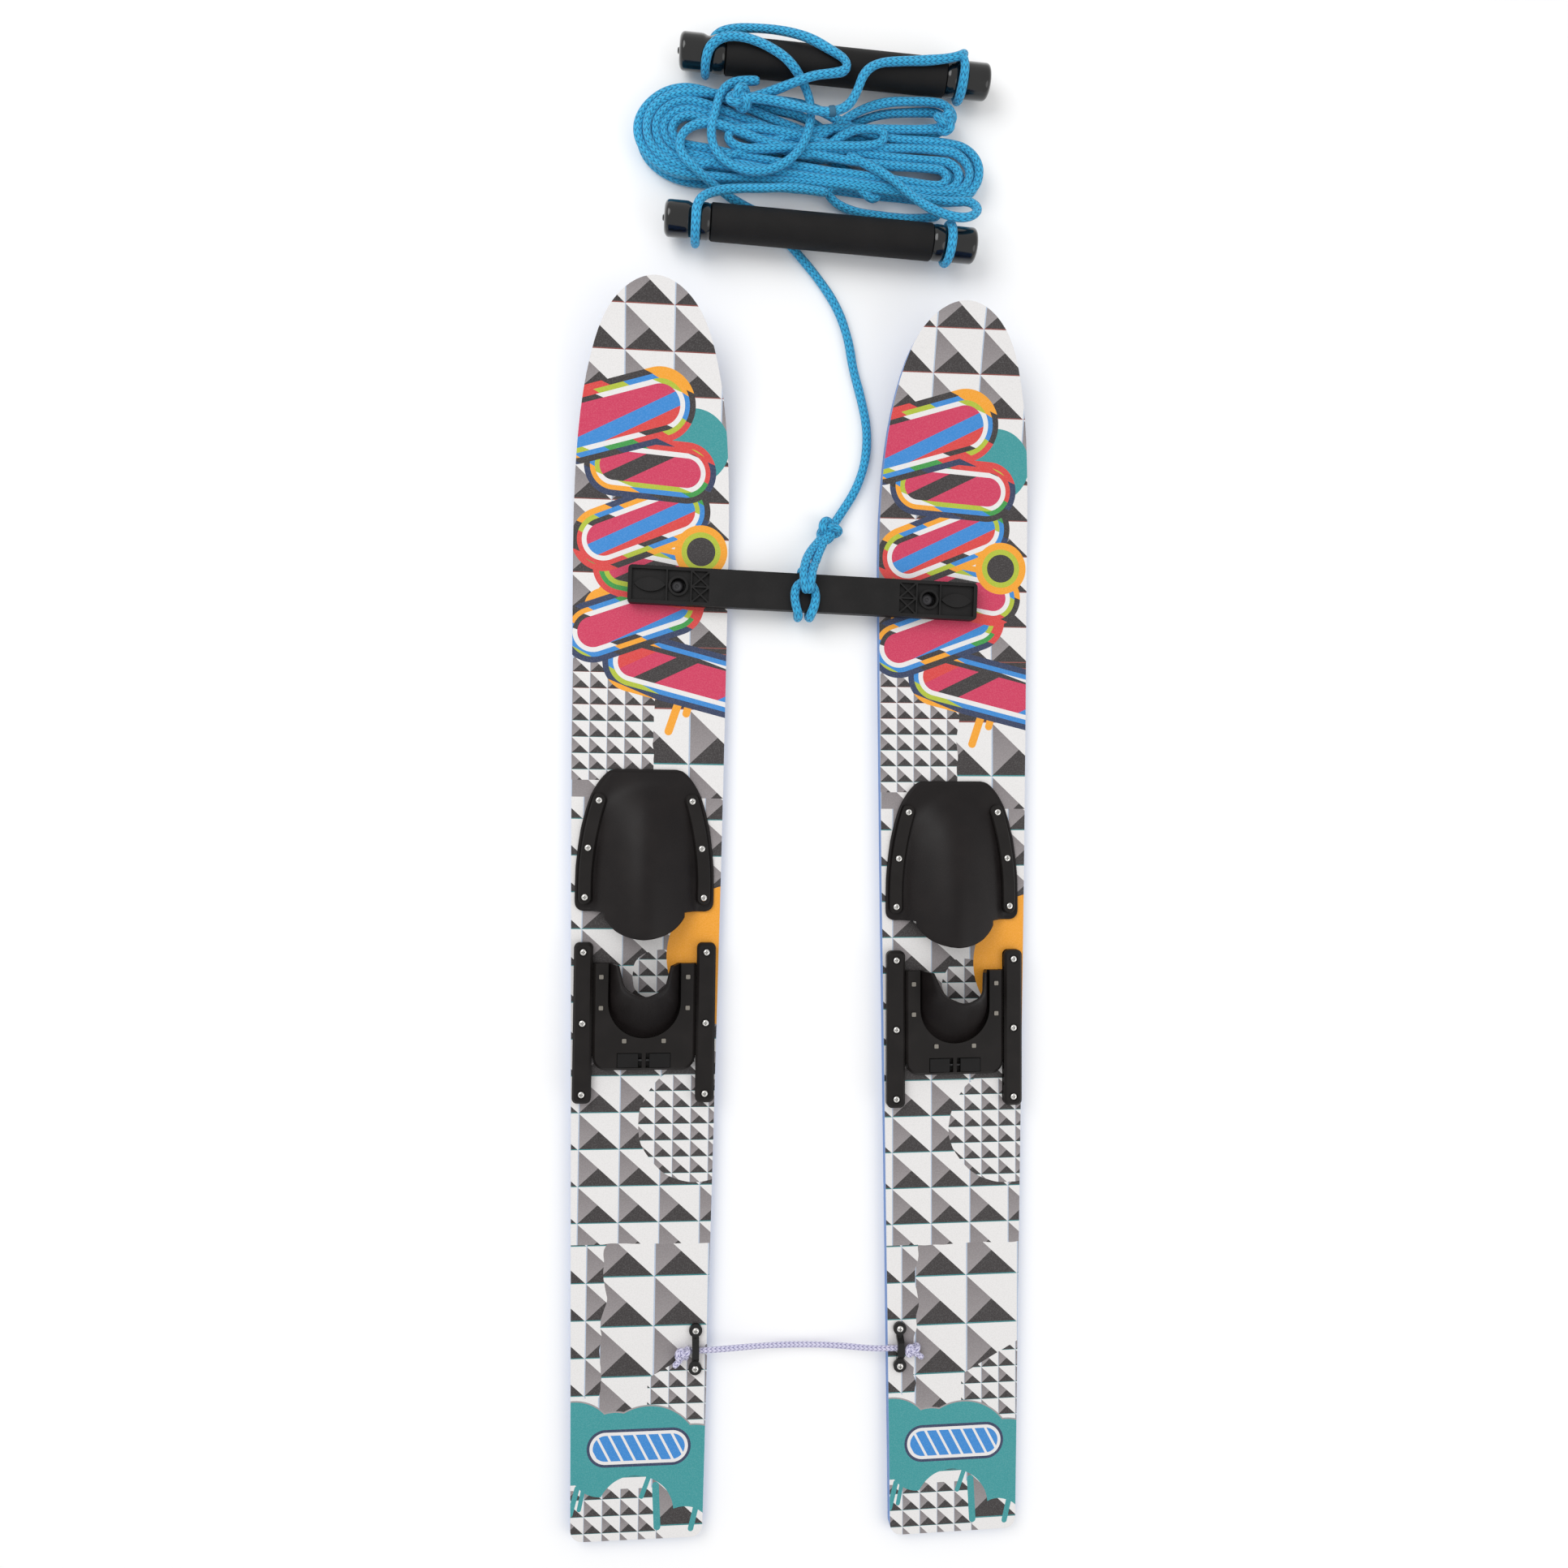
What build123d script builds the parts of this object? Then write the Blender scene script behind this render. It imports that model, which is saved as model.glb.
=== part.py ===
from build123d import *
import math
import os

# A pair of children's water skis joined by a crossbar, with a rear cord between the tails and a tow
# rope with two handles laid above the tips. Millimetres. +Y runs from the tails to the tips, +X to the
# right ski, +Z up from the surface that the skis lie on. The origin is the bottom centre of the pair.

os.makedirs("parts", exist_ok=True)

# ---- ski body ----
SKI_LENGTH = 1170.0
SKI_THICKNESS = 12.0
TOP_SHEET = 1.0
BASE_SKIN = 3.0
SIDE_WALL = 5.0
CORE_GAP = 0.1
ROCKER_START = 910.0
TIP_RISE = 55.0
ROCKER_RADIUS = ((SKI_LENGTH - ROCKER_START) ** 2 + TIP_RISE**2) / (2 * TIP_RISE)
ROCKER_SWEEP = 25.8
TAIL_CORNER = 11.0
# (distance from the tail, half width) along one edge
EDGE = [(0, 61.5), (330, 66.0), (680, 71.0), (900, 73.0), (1030, 70.0), (1110, 56.5), (1152, 35.5)]
TUNNEL_WIDTH, TUNNEL_DEPTH, TUNNEL_START, TUNNEL_END = 46.0, 1.5, 60.0, 900.0

# ---- where each ski lies: tail centre x, y and turn about +Z ----
POSES = {"left": (-158.1, -703.0, -0.81), "right": (145.3, -714.1, -0.08)}
INNER_SIDE = {"left": 1, "right": -1}

# ---- screws ----
SHANK_R, SHANK_HOLE_R = 2.1, 2.25
INSERT_R, INSERT_HOLE_R, INSERT_BOTTOM = 3.9, 4.0, 4.0
SHANK_BOTTOM = 4.6
HEAD_R, HEAD_HEIGHT = 3.2, 2.2
RECESS_LENGTH, RECESS_WIDTH, RECESS_DEPTH = 3.4, 0.8, 1.2

# ---- toe binding ----
TOE_OFFSET = -1.5
TOE_SCREWS = [(43.6, 693.8), (53.1, 649.4), (55.4, 603.2)]
FLANGE_THICKNESS = 3.0
TOE_PLATE_WIDTH, TOE_PLATE_THICKNESS, TOE_PLATE_OVERHANG = 12.4, 3.4, 7.0
# (distance from the tail, half width, height above the ski) of the foot pocket
POCKET = [(705, 31, 3.5), (690, 36, 15), (660, 41.5, 25), (620, 45, 31), (590, 46, 33), (560, 45.5, 33)]
POCKET_WALL = 3.0

# ---- heel slide ----
RAIL_X, RAIL_WIDTH, RAIL_HEIGHT, RAIL_LENGTH, RAIL_CENTRE = 57.4, 17.6, 9.0, 150.0, 485.8
RAIL_SCREW_PITCH = 66.3
GROOVE_DEPTH, GROOVE_LOW, GROOVE_HIGH = 4.0, 12.9, 16.7
NOTCH_PITCH, NOTCH_COUNT, NOTCH_DEPTH, NOTCH_LENGTH = 8.0, 15, 1.2, 3.0
PLATE_HALF, PLATE_REAR, PLATE_FRONT = 47.9, 441.5, 541.5
PLATE_LOW, PLATE_HIGH, PLATE_CORNER = 12.4, 20.0, 13.0
LIP_HALF, LIP_LOW, LIP_HIGH = 52.0, 13.4, 16.2
CUP_HALF, CUP_CENTRE = 34.0, 505.5
SEAT_HALF, SEAT_REAR, SEAT_TOP = 44.0, 460.0, 15.0
SEAT_GAP = 0.15
RIVETS = [(40.4, 529.0), (40.4, 500.0), (18.4, 469.2)]
RIVET_R, RIVET_HEAD, RIVET_HEAD_HEIGHT = 1.2, 4.0, 0.9
CUP_WALL, CUP_TOP_HALF, CUP_TOP_CENTRE, CUP_TOP = 3.5, 24.0, 537.0, 58.0
# where the cup's rim starts to slope down to the front, and how steeply in degrees
RIM_BACK, RIM_SLOPE = 516.0, 42.0

# ---- release tabs ----
TAB_X, TAB_WIDTH, TAB_REAR, TAB_FRONT, TAB_LOW, TAB_HIGH = 14.95, 19.5, 444.3, 457.4, 15.6, 20.7
TAB_TRAVEL, TAB_GAP = 3.0, 0.4
ARM_LOW, ARM_HIGH, ARM_REAR, ARM_FRONT, ARM_END = 16.6, 18.2, 448.8, 452.8, 47.4
SPRING_R, SPRING_BORE, SPRING_Z, SPRING_LENGTH = 1.3, 0.8, 18.0, 7.8
SPRING_POCKET_R, SPRING_POCKET_END = 1.6, 13.2

# ---- rear cord and its clips ----
CLIP_X, CLIP_Y = 52.6, {"left": 177.1, "right": 180.5}
CLIP_PITCH, CLIP_PAD_R, CLIP_PAD_HEIGHT = 35.6, 6.2, 3.0
CLIP_WAIST, CLIP_UNDERSIDE, CLIP_TOP = 6.6, 18.3, 21.6
REAR_CORD_D = 5.5
REAR_ROUTE = [
    (-107.5, -527.4, 15.2), (-86, -525.6, 15.3), (-66, -523.4, 13.2), (-42, -522.4, 8.6), (-14, -521.8, 5.8),
    (14, -523.2, 5.6), (40, -526.4, 8.2), (60, -530.0, 13.0), (78, -532.2, 15.4), (97.3, -533.8, 15.3),
]
REAR_KNOTS = {"left": ((-114.5, -529.5), (-123.5, -539.0)), "right": ((104.7, -536.0), (114.0, -543.5))}
KNOT_R, KNOT_HALF, KNOT_Z, TAIL_END_R = 5.1, 3.0, 17.3, 2.75

# ---- crossbar ----
BAR_CENTRE, BAR_TURN = (0.0, 188.4), -2.1
BAR_LENGTH, BAR_WIDTH, BAR_LOW, BAR_HIGH, BAR_CORNER = 334.0, 35.5, 14.0, 25.0, 4.0
BAR_HOLE_X, BAR_HOLE_R, BAR_BOSS_R = 119.9, 7.2, 9.4
BAR_RECESS, BAR_RIM, BAR_RIB = 3.0, 3.2, 1.5
LENS_X, LENS_LENGTH, LENS_WIDTH = 145.0, 29.0, 13.0
FIELDS = [(91.0, 107.0), (108.5, 130.0), (131.5, 163.5)]
STUD_OFFSET, STUD_R, STUD_FLANGE_R, STUD_TOP = -1.1, 5.6, 9.0, 20.5
STUD_FLANGE_HEIGHT = 1.6

# ---- handles ----
HANDLE_LENGTH, GRIP_R, CAP_R, NECK_R, CORE_R = 299.0, 17.2, 16.6, 13.0, 10.5
CAP_LENGTH, NECK_START, NECK_END, CORE_WALL = 44.0, 20.5, 36.5, 2.0
CAP_ROUND, NIB_R, NIB_LENGTH = 4.0, 3.0, 1.6
# centre x, y, z and turn about +Z
HANDLES = {"upper": (30.1, 692.2, 22.6, -2.40), "lower": (16.0, 531.4, 26.2, -2.56)}

# ---- tow rope ----
ROPE_D = 8.5
HITCH_X, HITCH_WIDTH, HITCH_GAP = 3.5, 25.0, 0.2
TOW_KNOT, TOW_KNOT_R, TOW_KNOT_HALF = (24.5, 251.0, 8.6), 8.2, 4.0
LEAD_ROUTE = [
    (9, 218, 22), (15, 234, 13.5), (25, 252, 7.0), (38.5, 270, 4.6), (52.5, 292, 4.5), (62, 320, 4.5),
    (63.5, 351, 4.5), (57, 382, 4.5), (49, 410, 4.5), (45, 438, 4.5), (34, 469, 4.5), (14, 498, 4.5),
    (-12, 527, 4.5), (-34, 551.5, 4.5),
]
HANK_HEIGHT, HANK_FLOOR = 26.0, 0.3
HANK_LOBES = {"left": (-103, 613.5, 58.0), "right": (131, 604.5, 49.0)}
UPPER_LEFT_ROUTE = [
    (-61, 650, 31.2), (-42, 655, 33.5), (-20, 661, 40.5), (4, 668, 48.2), (24, 671.5, 47.8),
    (34.5, 675, 45.6), (38, 681.5, 44.8), (34.5, 688, 44.8), (23, 694.5, 44.8), (2, 706.5, 43),
    (-19, 716.5, 34), (-41, 722, 27), (-64, 722.5, 24), (-84, 719, 20), (-91.5, 709.5, 7.8),
    (-93, 697.5, 3.9), (-94, 684.6, 7.8), (-94.8, 678, 22), (-95, 683.4, 37), (-91, 694, 42.8),
    (-77, 702.5, 44.8), (-56, 701.8, 45), (-36, 694.5, 45), (-17, 683.5, 44.2), (-2.5, 669, 34.4),
    (5.5, 650, 31.2), (4, 628, 31.2), (-5, 606, 31.2),
    (-24, 589, 31.2), (-49, 582, 31.2), (-74, 588.5, 31.2), (-88, 604, 31.2), (-90, 623, 31.2),
    (-85, 640, 31.2), (-82, 653, 31.4), (-74, 664, 31.4), (-60, 669, 31.2), (-44, 669.5, 31.2),
]
UPPER_RIGHT_ROUTE = [
    (-57, 648, 40.8), (-34, 647, 41.2), (-8, 641.5, 42), (18, 637, 42), (38, 642.5, 42.6), (47, 657, 44.2),
    (53, 675, 45.6), (66, 685.5, 45), (88, 688.5, 44.8), (112, 690.5, 44.8), (134, 693.5, 45.2),
    (147.5, 698.5, 43.6), (152.6, 706.5, 34.5), (153, 708.6, 21.5), (152.5, 702.3, 7.6), (151.5, 688, 2.8),
    (150.6, 673.5, 7.4), (150, 667.4, 21.6), (150, 672.4, 36), (150.8, 683.4, 42.8),
]
LOWER_RIGHT_ROUTE = [
    (52, 603, 31.2), (77, 588.5, 31.2), (97, 571.5, 31.2), (113, 557.5, 36), (128, 545.5, 46),
    (145, 539.5, 51.5), (158, 544, 48.5), (164.5, 554, 42), (157, 563.5, 36.5), (142, 563, 33),
]
LOOP_X, LOOP_R = 121.8, 17.5
LOWER_LEFT_ROUTE = [
    (13, 568.5, 31.2), (-14, 570.5, 31.2), (-40, 568, 31.2), (-62, 567, 31.4), (-82, 562.5, 35),
    (-97, 554, 42), (-103.5, 543, 46.6), (-104.4, 530, 47), (-104.8, 518.6, 38.4), (-104.4, 515.6, 25),
    (-103.4, 521, 11.6), (-102.6, 534, 6.4), (-102, 548, 10.8),
]


def placed(shape, side):
    """A ski sub-part, moved from the ski's own frame to where that ski lies."""
    x, y, turn = POSES[side]
    return Location((x, y, 0), (0, 0, turn)) * shape


def ski_point(x, y, side):
    """A point given in the whole part's frame, in the ski's own frame."""
    tail_x, tail_y, turn = POSES[side]
    c, s = math.cos(math.radians(turn)), math.sin(math.radians(turn))
    dx, dy = x - tail_x, y - tail_y
    return (c * dx + s * dy, c * dy - s * dx)


def cylinder(x, y, low, high, radius):
    return Pos(x, y, low) * extrude(Circle(radius), amount=high - low)


def block(x_low, x_high, y_low, y_high, z_low, z_high):
    size = (x_high - x_low, y_high - y_low, z_high - z_low)
    return Pos(x_low, y_low, z_low) * Box(*size, align=(Align.MIN, Align.MIN, Align.MIN))


def both_sides(points, centre=0.0):
    """Each point and its mirror image across x = centre."""
    return [(centre + sign * x, y) for x, y in points for sign in (-1, 1)]


# ---- ski body ----


def edge_line(inset=0.0):
    """The right edge from the tail to the tip, or a line this far inside it."""
    ends = [(0.012, 1), (-1, 0)]
    edge = Spline([(w, y) for y, w in EDGE] + [(0, SKI_LENGTH)], tangents=ends)
    if not inset:
        return edge
    inner = [Vector(w, y) + edge.tangent_at((w, y)).rotate(Axis.Z, 90) * inset for y, w in EDGE]
    inner[0] = Vector(inner[0].X, inset)
    return Spline(inner + [Vector(0, SKI_LENGTH - inset)], tangents=ends)


def ski_outline(inset=0.0):
    right = edge_line(inset)
    left = right.mirror(Plane.YZ)
    outline = make_face([right, left, Line(left @ 0, right @ 0)])
    tail = outline.vertices().sort_by(Axis.Y)[:2]
    return fillet(tail, TAIL_CORNER - inset)


def rocker_point(height, angle):
    """Point (y, z) of the surface at this height above the bottom, so far round the rocker."""
    radius = ROCKER_RADIUS - height
    a = math.radians(angle)
    return (ROCKER_START + radius * math.sin(a), ROCKER_RADIUS - radius * math.cos(a))


def layer(low, high, inset=0.0):
    """The part of the ski between two heights above its bottom, this far inside its edge."""
    lower, upper = [[rocker_point(h, ROCKER_SWEEP * k / 2) for k in range(3)] for h in (low, high)]
    behind = -20.0
    profile = [
        Line((behind, low), lower[0]),
        ThreePointArc(*lower),
        Line(lower[2], upper[2]),
        ThreePointArc(*reversed(upper)),
        Line(upper[0], (behind, high)),
        Line((behind, high), (behind, low)),
    ]
    band = extrude(Plane.YZ * make_face(profile), amount=100, both=True)
    return band & extrude(ski_outline(inset), amount=150)


def base():
    tray = layer(0, SKI_THICKNESS - TOP_SHEET) - layer(BASE_SKIN, SKI_THICKNESS, SIDE_WALL)
    half = TUNNEL_WIDTH / 2
    return tray - block(-half, half, TUNNEL_START, TUNNEL_END, -1, TUNNEL_DEPTH)


def screw_places(side):
    """Every screw that enters the ski, the crossbar post's own shank included."""
    stud = ski_point(*stud_centre(side), side)
    return toe_screw_places() + rail_screw_places() + clip_screw_places(side) + [stud]


def core(side):
    top = SKI_THICKNESS - TOP_SHEET
    solid = layer(BASE_SKIN + CORE_GAP, top, SIDE_WALL + CORE_GAP)
    return solid - [cylinder(x, y, INSERT_BOTTOM, top + 1, INSERT_HOLE_R) for x, y in screw_places(side)]


def inserts(side):
    top = SKI_THICKNESS - TOP_SHEET
    low, high = INSERT_BOTTOM + CORE_GAP, top - CORE_GAP
    return Compound([
        cylinder(x, y, low, high, INSERT_R) - cylinder(x, y, 0, top, SHANK_HOLE_R)
        for x, y in screw_places(side)
    ])


def top_sheet(side):
    sheet = layer(SKI_THICKNESS - TOP_SHEET, SKI_THICKNESS)
    return sheet - [cylinder(x, y, 0, 20, SHANK_HOLE_R) for x, y in screw_places(side)]


def pan_screw(x, y, seat):
    """A pan head screw with a cross recess, its head resting at the height seat."""
    head = extrude(Circle(HEAD_R), amount=HEAD_HEIGHT)
    head = fillet(head.edges().sort_by(Axis.Z)[-1], HEAD_HEIGHT * 0.75)
    floor = HEAD_HEIGHT - RECESS_DEPTH
    for length, width in ((RECESS_LENGTH, RECESS_WIDTH), (RECESS_WIDTH, RECESS_LENGTH)):
        head -= Pos(0, 0, floor) * extrude(Rectangle(length, width), amount=RECESS_DEPTH + 1)
    shank = Pos(0, 0, SHANK_BOTTOM - seat) * extrude(Circle(SHANK_R), amount=seat - SHANK_BOTTOM)
    return Pos(x, y, seat) * (head + shank)


def screw_group(places, seat):
    return Compound([pan_screw(x, y, seat) for x, y in places])


# ---- toe binding ----


def toe_screw_places():
    return both_sides(TOE_SCREWS, TOE_OFFSET)


def toe_outline():
    """Plan of the rubber: a wide flange with a rounded tongue to the rear."""
    right = [
        Spline([(36.5, 721), (51.5, 700), (60.5, 668), (64.8, 632), (65.2, 598)]),
        ThreePointArc((65.2, 598), (62.6, 592), (56.5, 589.8)),
        Line((56.5, 589.8), (40, 589.8)),
        Spline([(40, 589.8), (31.5, 577.5), (17, 568.5), (0, 565.6)], tangents=[(-0.5, -1), (-1, 0)]),
    ]
    front = ThreePointArc((-36.5, 721), (0, 724.4), (36.5, 721))
    left = [edge.mirror(Plane.YZ) for edge in right]
    face = make_face([front] + right + left)
    corners = face.vertices().filter_by(lambda v: v.Y > 715)
    return Pos(TOE_OFFSET, 0, 0) * fillet(corners, 6)


def pocket_solid(shrink):
    """The foot pocket as a closed dome, its surface moved inward by shrink."""
    sections = []
    for y, half, height in POCKET:
        back = y - 2 * shrink if y == POCKET[0][0] else y
        a, b = half - shrink, max(height - shrink, 1.2)
        arch = EllipticalCenterArc((0, 0), a, b, start_angle=0, arc_size=180)
        place = Plane(origin=(TOE_OFFSET, back, SKI_THICKNESS), x_dir=(1, 0, 0), z_dir=(0, -1, 0))
        sections.append(place * make_face([arch, Line((-a, 0), (a, 0))]))
    return loft(sections)


def toe_rubber():
    plan = toe_outline()
    flange = Pos(0, 0, SKI_THICKNESS) * extrude(plan, amount=FLANGE_THICKNESS)
    behind = block(-42, 39, 540, 589.5, SKI_THICKNESS - 1, SKI_THICKNESS + FLANGE_THICKNESS + 1)
    dome = pocket_solid(0) & (Pos(0, 0, SKI_THICKNESS) * extrude(plan, amount=60))
    rubber = (flange - behind) + dome - pocket_solid(POCKET_WALL)
    low, high = SKI_THICKNESS - 1, SKI_THICKNESS + FLANGE_THICKNESS + 1
    return rubber - [cylinder(x, y, low, high, SHANK_HOLE_R) for x, y in toe_screw_places()]


def toe_plate(sign):
    """The curved plate along one side, through that side's three screws."""
    places = [(TOE_OFFSET + sign * x, y) for x, y in TOE_SCREWS]
    line = ThreePointArc(*places)
    reach = TOE_PLATE_OVERHANG - TOE_PLATE_WIDTH / 2
    front = line.position_at(0) - line.tangent_at(0) * reach
    rear = line.position_at(1) + line.tangent_at(1) * reach
    shape = SlotArc(ThreePointArc(front, line.position_at(0.5), rear), TOE_PLATE_WIDTH)
    seat = SKI_THICKNESS + FLANGE_THICKNESS
    plate = Pos(0, 0, seat) * extrude(shape, amount=TOE_PLATE_THICKNESS)
    plate = chamfer(plate.faces().sort_by(Axis.Z)[-1].edges(), 1.0)
    return plate - [cylinder(x, y, seat - 1, seat + 6, SHANK_HOLE_R) for x, y in places]


# ---- heel slide ----


def rail_screw_places():
    steps = (RAIL_SCREW_PITCH, 0, -RAIL_SCREW_PITCH)
    return both_sides([(RAIL_X, RAIL_CENTRE + step) for step in steps])


def rail(sign):
    """A screwed down rail whose inner side is grooved for the heel plate's lip and notched above it."""
    low, high = SKI_THICKNESS, SKI_THICKNESS + RAIL_HEIGHT
    plan = RectangleRounded(RAIL_WIDTH, RAIL_LENGTH, 5)
    bar = Pos(RAIL_X, RAIL_CENTRE, low) * extrude(plan, amount=RAIL_HEIGHT)
    bar = chamfer(bar.faces().sort_by(Axis.Z)[-1].edges(), 2.2)
    inner = RAIL_X - RAIL_WIDTH / 2
    y_low, y_high = RAIL_CENTRE - RAIL_LENGTH / 2, RAIL_CENTRE + RAIL_LENGTH / 2
    bar -= block(inner - 1, inner + GROOVE_DEPTH, y_low - 1, y_high + 1, GROOVE_LOW, GROOVE_HIGH)
    first = RAIL_CENTRE - NOTCH_PITCH * (NOTCH_COUNT - 1) / 2
    for k in range(NOTCH_COUNT):
        y = first + k * NOTCH_PITCH
        bar -= block(inner - 1, inner + NOTCH_DEPTH, y, y + NOTCH_LENGTH, GROOVE_HIGH - 0.5, 18.6)
    for step in (RAIL_SCREW_PITCH, 0, -RAIL_SCREW_PITCH):
        bar -= cylinder(RAIL_X, RAIL_CENTRE + step, low - 1, high + 1, SHANK_HOLE_R)
        bar -= cylinder(RAIL_X, RAIL_CENTRE + step, high - 0.8, high + 1, HEAD_R + 1.2)
    return bar if sign > 0 else bar.mirror(Plane.YZ)


def u_shape(half, centre, front):
    """A U opening to the front: a half circle about centre with straight legs."""
    return Pos(0, centre) * Circle(half) + Pos(0, (centre + front) / 2) * Rectangle(2 * half, front - centre)


def heel_plate():
    length = PLATE_FRONT - PLATE_REAR
    middle = (PLATE_FRONT + PLATE_REAR) / 2
    outline = Pos(0, middle) * Rectangle(2 * PLATE_HALF, length)
    outline = fillet(outline.vertices().sort_by(Axis.Y)[:2], PLATE_CORNER)
    plate = Pos(0, 0, PLATE_LOW) * extrude(outline, amount=PLATE_HIGH - PLATE_LOW)
    rear = plate.faces().sort_by(Axis.Z)[-1].edges().filter_by(lambda e: e.center().Y < PLATE_FRONT - 1)
    plate = chamfer(rear, 2.4)
    plate += block(-LIP_HALF, LIP_HALF, PLATE_REAR + PLATE_CORNER, PLATE_FRONT - 2, LIP_LOW, LIP_HIGH)
    plate -= Pos(0, 0, PLATE_LOW - 1) * extrude(u_shape(CUP_HALF, CUP_CENTRE, PLATE_FRONT + 1), amount=20)
    plate -= block(-SEAT_HALF, SEAT_HALF, SEAT_REAR, PLATE_FRONT + 1, PLATE_LOW - 1, SEAT_TOP)
    plate -= [cylinder(x, y, SEAT_TOP - 1, PLATE_HIGH + 1, RIVET_R + 0.1) for x, y in both_sides(RIVETS)]
    inner, outer = TAB_X - TAB_WIDTH / 2, TAB_X + TAB_WIDTH / 2
    for sign in (-1, 1):
        well = block(inner - TAB_TRAVEL - TAB_GAP, outer + TAB_GAP, TAB_REAR - TAB_GAP, TAB_FRONT + TAB_GAP,
                     TAB_LOW - TAB_GAP, PLATE_HIGH + 2)
        tunnel = block(outer, LIP_HALF + 1, ARM_REAR - TAB_GAP, ARM_FRONT + TAB_GAP, ARM_LOW - TAB_GAP,
                       ARM_HIGH + TAB_GAP)
        cut = well + tunnel
        plate -= cut if sign > 0 else cut.mirror(Plane.YZ)
    return plate


def heel_rubber():
    """A flange under the plate and a wall that leans inward over the heel, open to the front."""
    low = PLATE_LOW + SEAT_GAP
    flange = block(-SEAT_HALF + SEAT_GAP, SEAT_HALF - SEAT_GAP, SEAT_REAR + SEAT_GAP, PLATE_FRONT, low,
                   SEAT_TOP - SEAT_GAP)
    flange -= [cylinder(x, y, low - 1, SEAT_TOP + 1, RIVET_R + 0.1) for x, y in both_sides(RIVETS)]
    walls = []
    for inset in (0.4, 0.4 + CUP_WALL):
        foot = Pos(0, 0, low) * u_shape(CUP_HALF - inset, CUP_CENTRE, PLATE_FRONT + 6)
        head = Pos(0, 0, CUP_TOP) * u_shape(CUP_TOP_HALF - inset, CUP_TOP_CENTRE, PLATE_FRONT + 6)
        walls.append(loft([foot, head]))
    cup = (walls[0] - walls[1]) & block(-60, 60, 440, PLATE_FRONT, 0, 80)
    above = Box(120, 160, 60, align=(Align.CENTER, Align.MIN, Align.MIN))
    slope = Pos(0, RIM_BACK, CUP_TOP) * Rot(-RIM_SLOPE, 0, 0) * above
    inside = u_shape(CUP_HALF - 0.4 - CUP_WALL, CUP_CENTRE, PLATE_FRONT + 6)
    cavity = Pos(0, 0, low - 1) * extrude(inside, amount=3.6)
    return (flange - cavity) + (cup - slope)


def heel_rivets():
    rivets = []
    for x, y in both_sides(RIVETS):
        head = extrude(RectangleRounded(RIVET_HEAD, RIVET_HEAD, 0.8), amount=RIVET_HEAD_HEIGHT)
        head = Pos(0, 0, PLATE_HIGH) * head
        shank = cylinder(0, 0, PLATE_LOW + 0.3, PLATE_HIGH, RIVET_R)
        rivets.append(Pos(x, y) * (head + shank))
    return Compound(rivets)


def tab(sign):
    """A finger tab with an arm that runs out under the plate towards the rail's notches."""
    inner, outer = TAB_X - TAB_WIDTH / 2, TAB_X + TAB_WIDTH / 2
    pad = block(inner, outer, TAB_REAR, TAB_FRONT, TAB_LOW, TAB_HIGH)
    pad = fillet(pad.faces().sort_by(Axis.Z)[-1].edges(), 0.8)
    pad += block(outer - 1, ARM_END, ARM_REAR, ARM_FRONT, ARM_LOW, ARM_HIGH)
    middle = (TAB_REAR + TAB_FRONT) / 2
    bore = Pos(inner - 1, middle, SPRING_Z) * Rot(0, 90, 0) * Cylinder(
        SPRING_POCKET_R, SPRING_POCKET_END - inner + 1, align=(Align.CENTER, Align.CENTER, Align.MIN))
    pad -= bore
    return pad if sign > 0 else pad.mirror(Plane.YZ)


def tab_springs():
    """The coil springs between the tabs and the plate, each drawn as a sleeve of its outer size."""
    start = TAB_X - TAB_WIDTH / 2 - TAB_TRAVEL - TAB_GAP + 0.1
    middle = (TAB_REAR + TAB_FRONT) / 2
    lying = (Align.CENTER, Align.CENTER, Align.MIN)
    sleeve = Cylinder(SPRING_R, SPRING_LENGTH, align=lying)
    sleeve -= Cylinder(SPRING_BORE, SPRING_LENGTH, align=lying)
    spring = Pos(start, middle, SPRING_Z) * Rot(0, 90, 0) * sleeve
    return Compound([spring, spring.mirror(Plane.YZ)])


# ---- rear cord clip ----


def clip_centre(side):
    return (CLIP_X * INNER_SIDE[side], CLIP_Y[side])


def clip_screw_places(side):
    x, y = clip_centre(side)
    return [(x, y - CLIP_PITCH / 2), (x, y + CLIP_PITCH / 2)]


def cord_clip(side):
    """A dog bone saddle: two screwed pads and a narrow bridge over the cord."""
    x, y = clip_centre(side)
    seat = SKI_THICKNESS
    low, high = CLIP_UNDERSIDE - seat, CLIP_TOP - seat
    foot, knee, crown = CLIP_PITCH / 2, 8.6, 5.2
    bridge = make_face(Polyline(
        (-foot, 0), (-knee, 0), (-crown, low), (crown, low), (knee, 0), (foot, 0),
        (foot, CLIP_PAD_HEIGHT), (knee + 2.6, CLIP_PAD_HEIGHT), (crown + 1.2, high),
        (-crown - 1.2, high), (-knee - 2.6, CLIP_PAD_HEIGHT), (-foot, CLIP_PAD_HEIGHT), close=True))
    clip = extrude(Plane.YZ * bridge, amount=CLIP_WAIST / 2, both=True)
    ends = (-foot, foot)
    pads = [cylinder(0, end, 0, CLIP_PAD_HEIGHT, CLIP_PAD_R) for end in ends]
    holes = [cylinder(0, end, -1, CLIP_PAD_HEIGHT + 1, SHANK_HOLE_R) for end in ends]
    return Pos(x, y, seat) * (clip + pads - holes)


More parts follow.
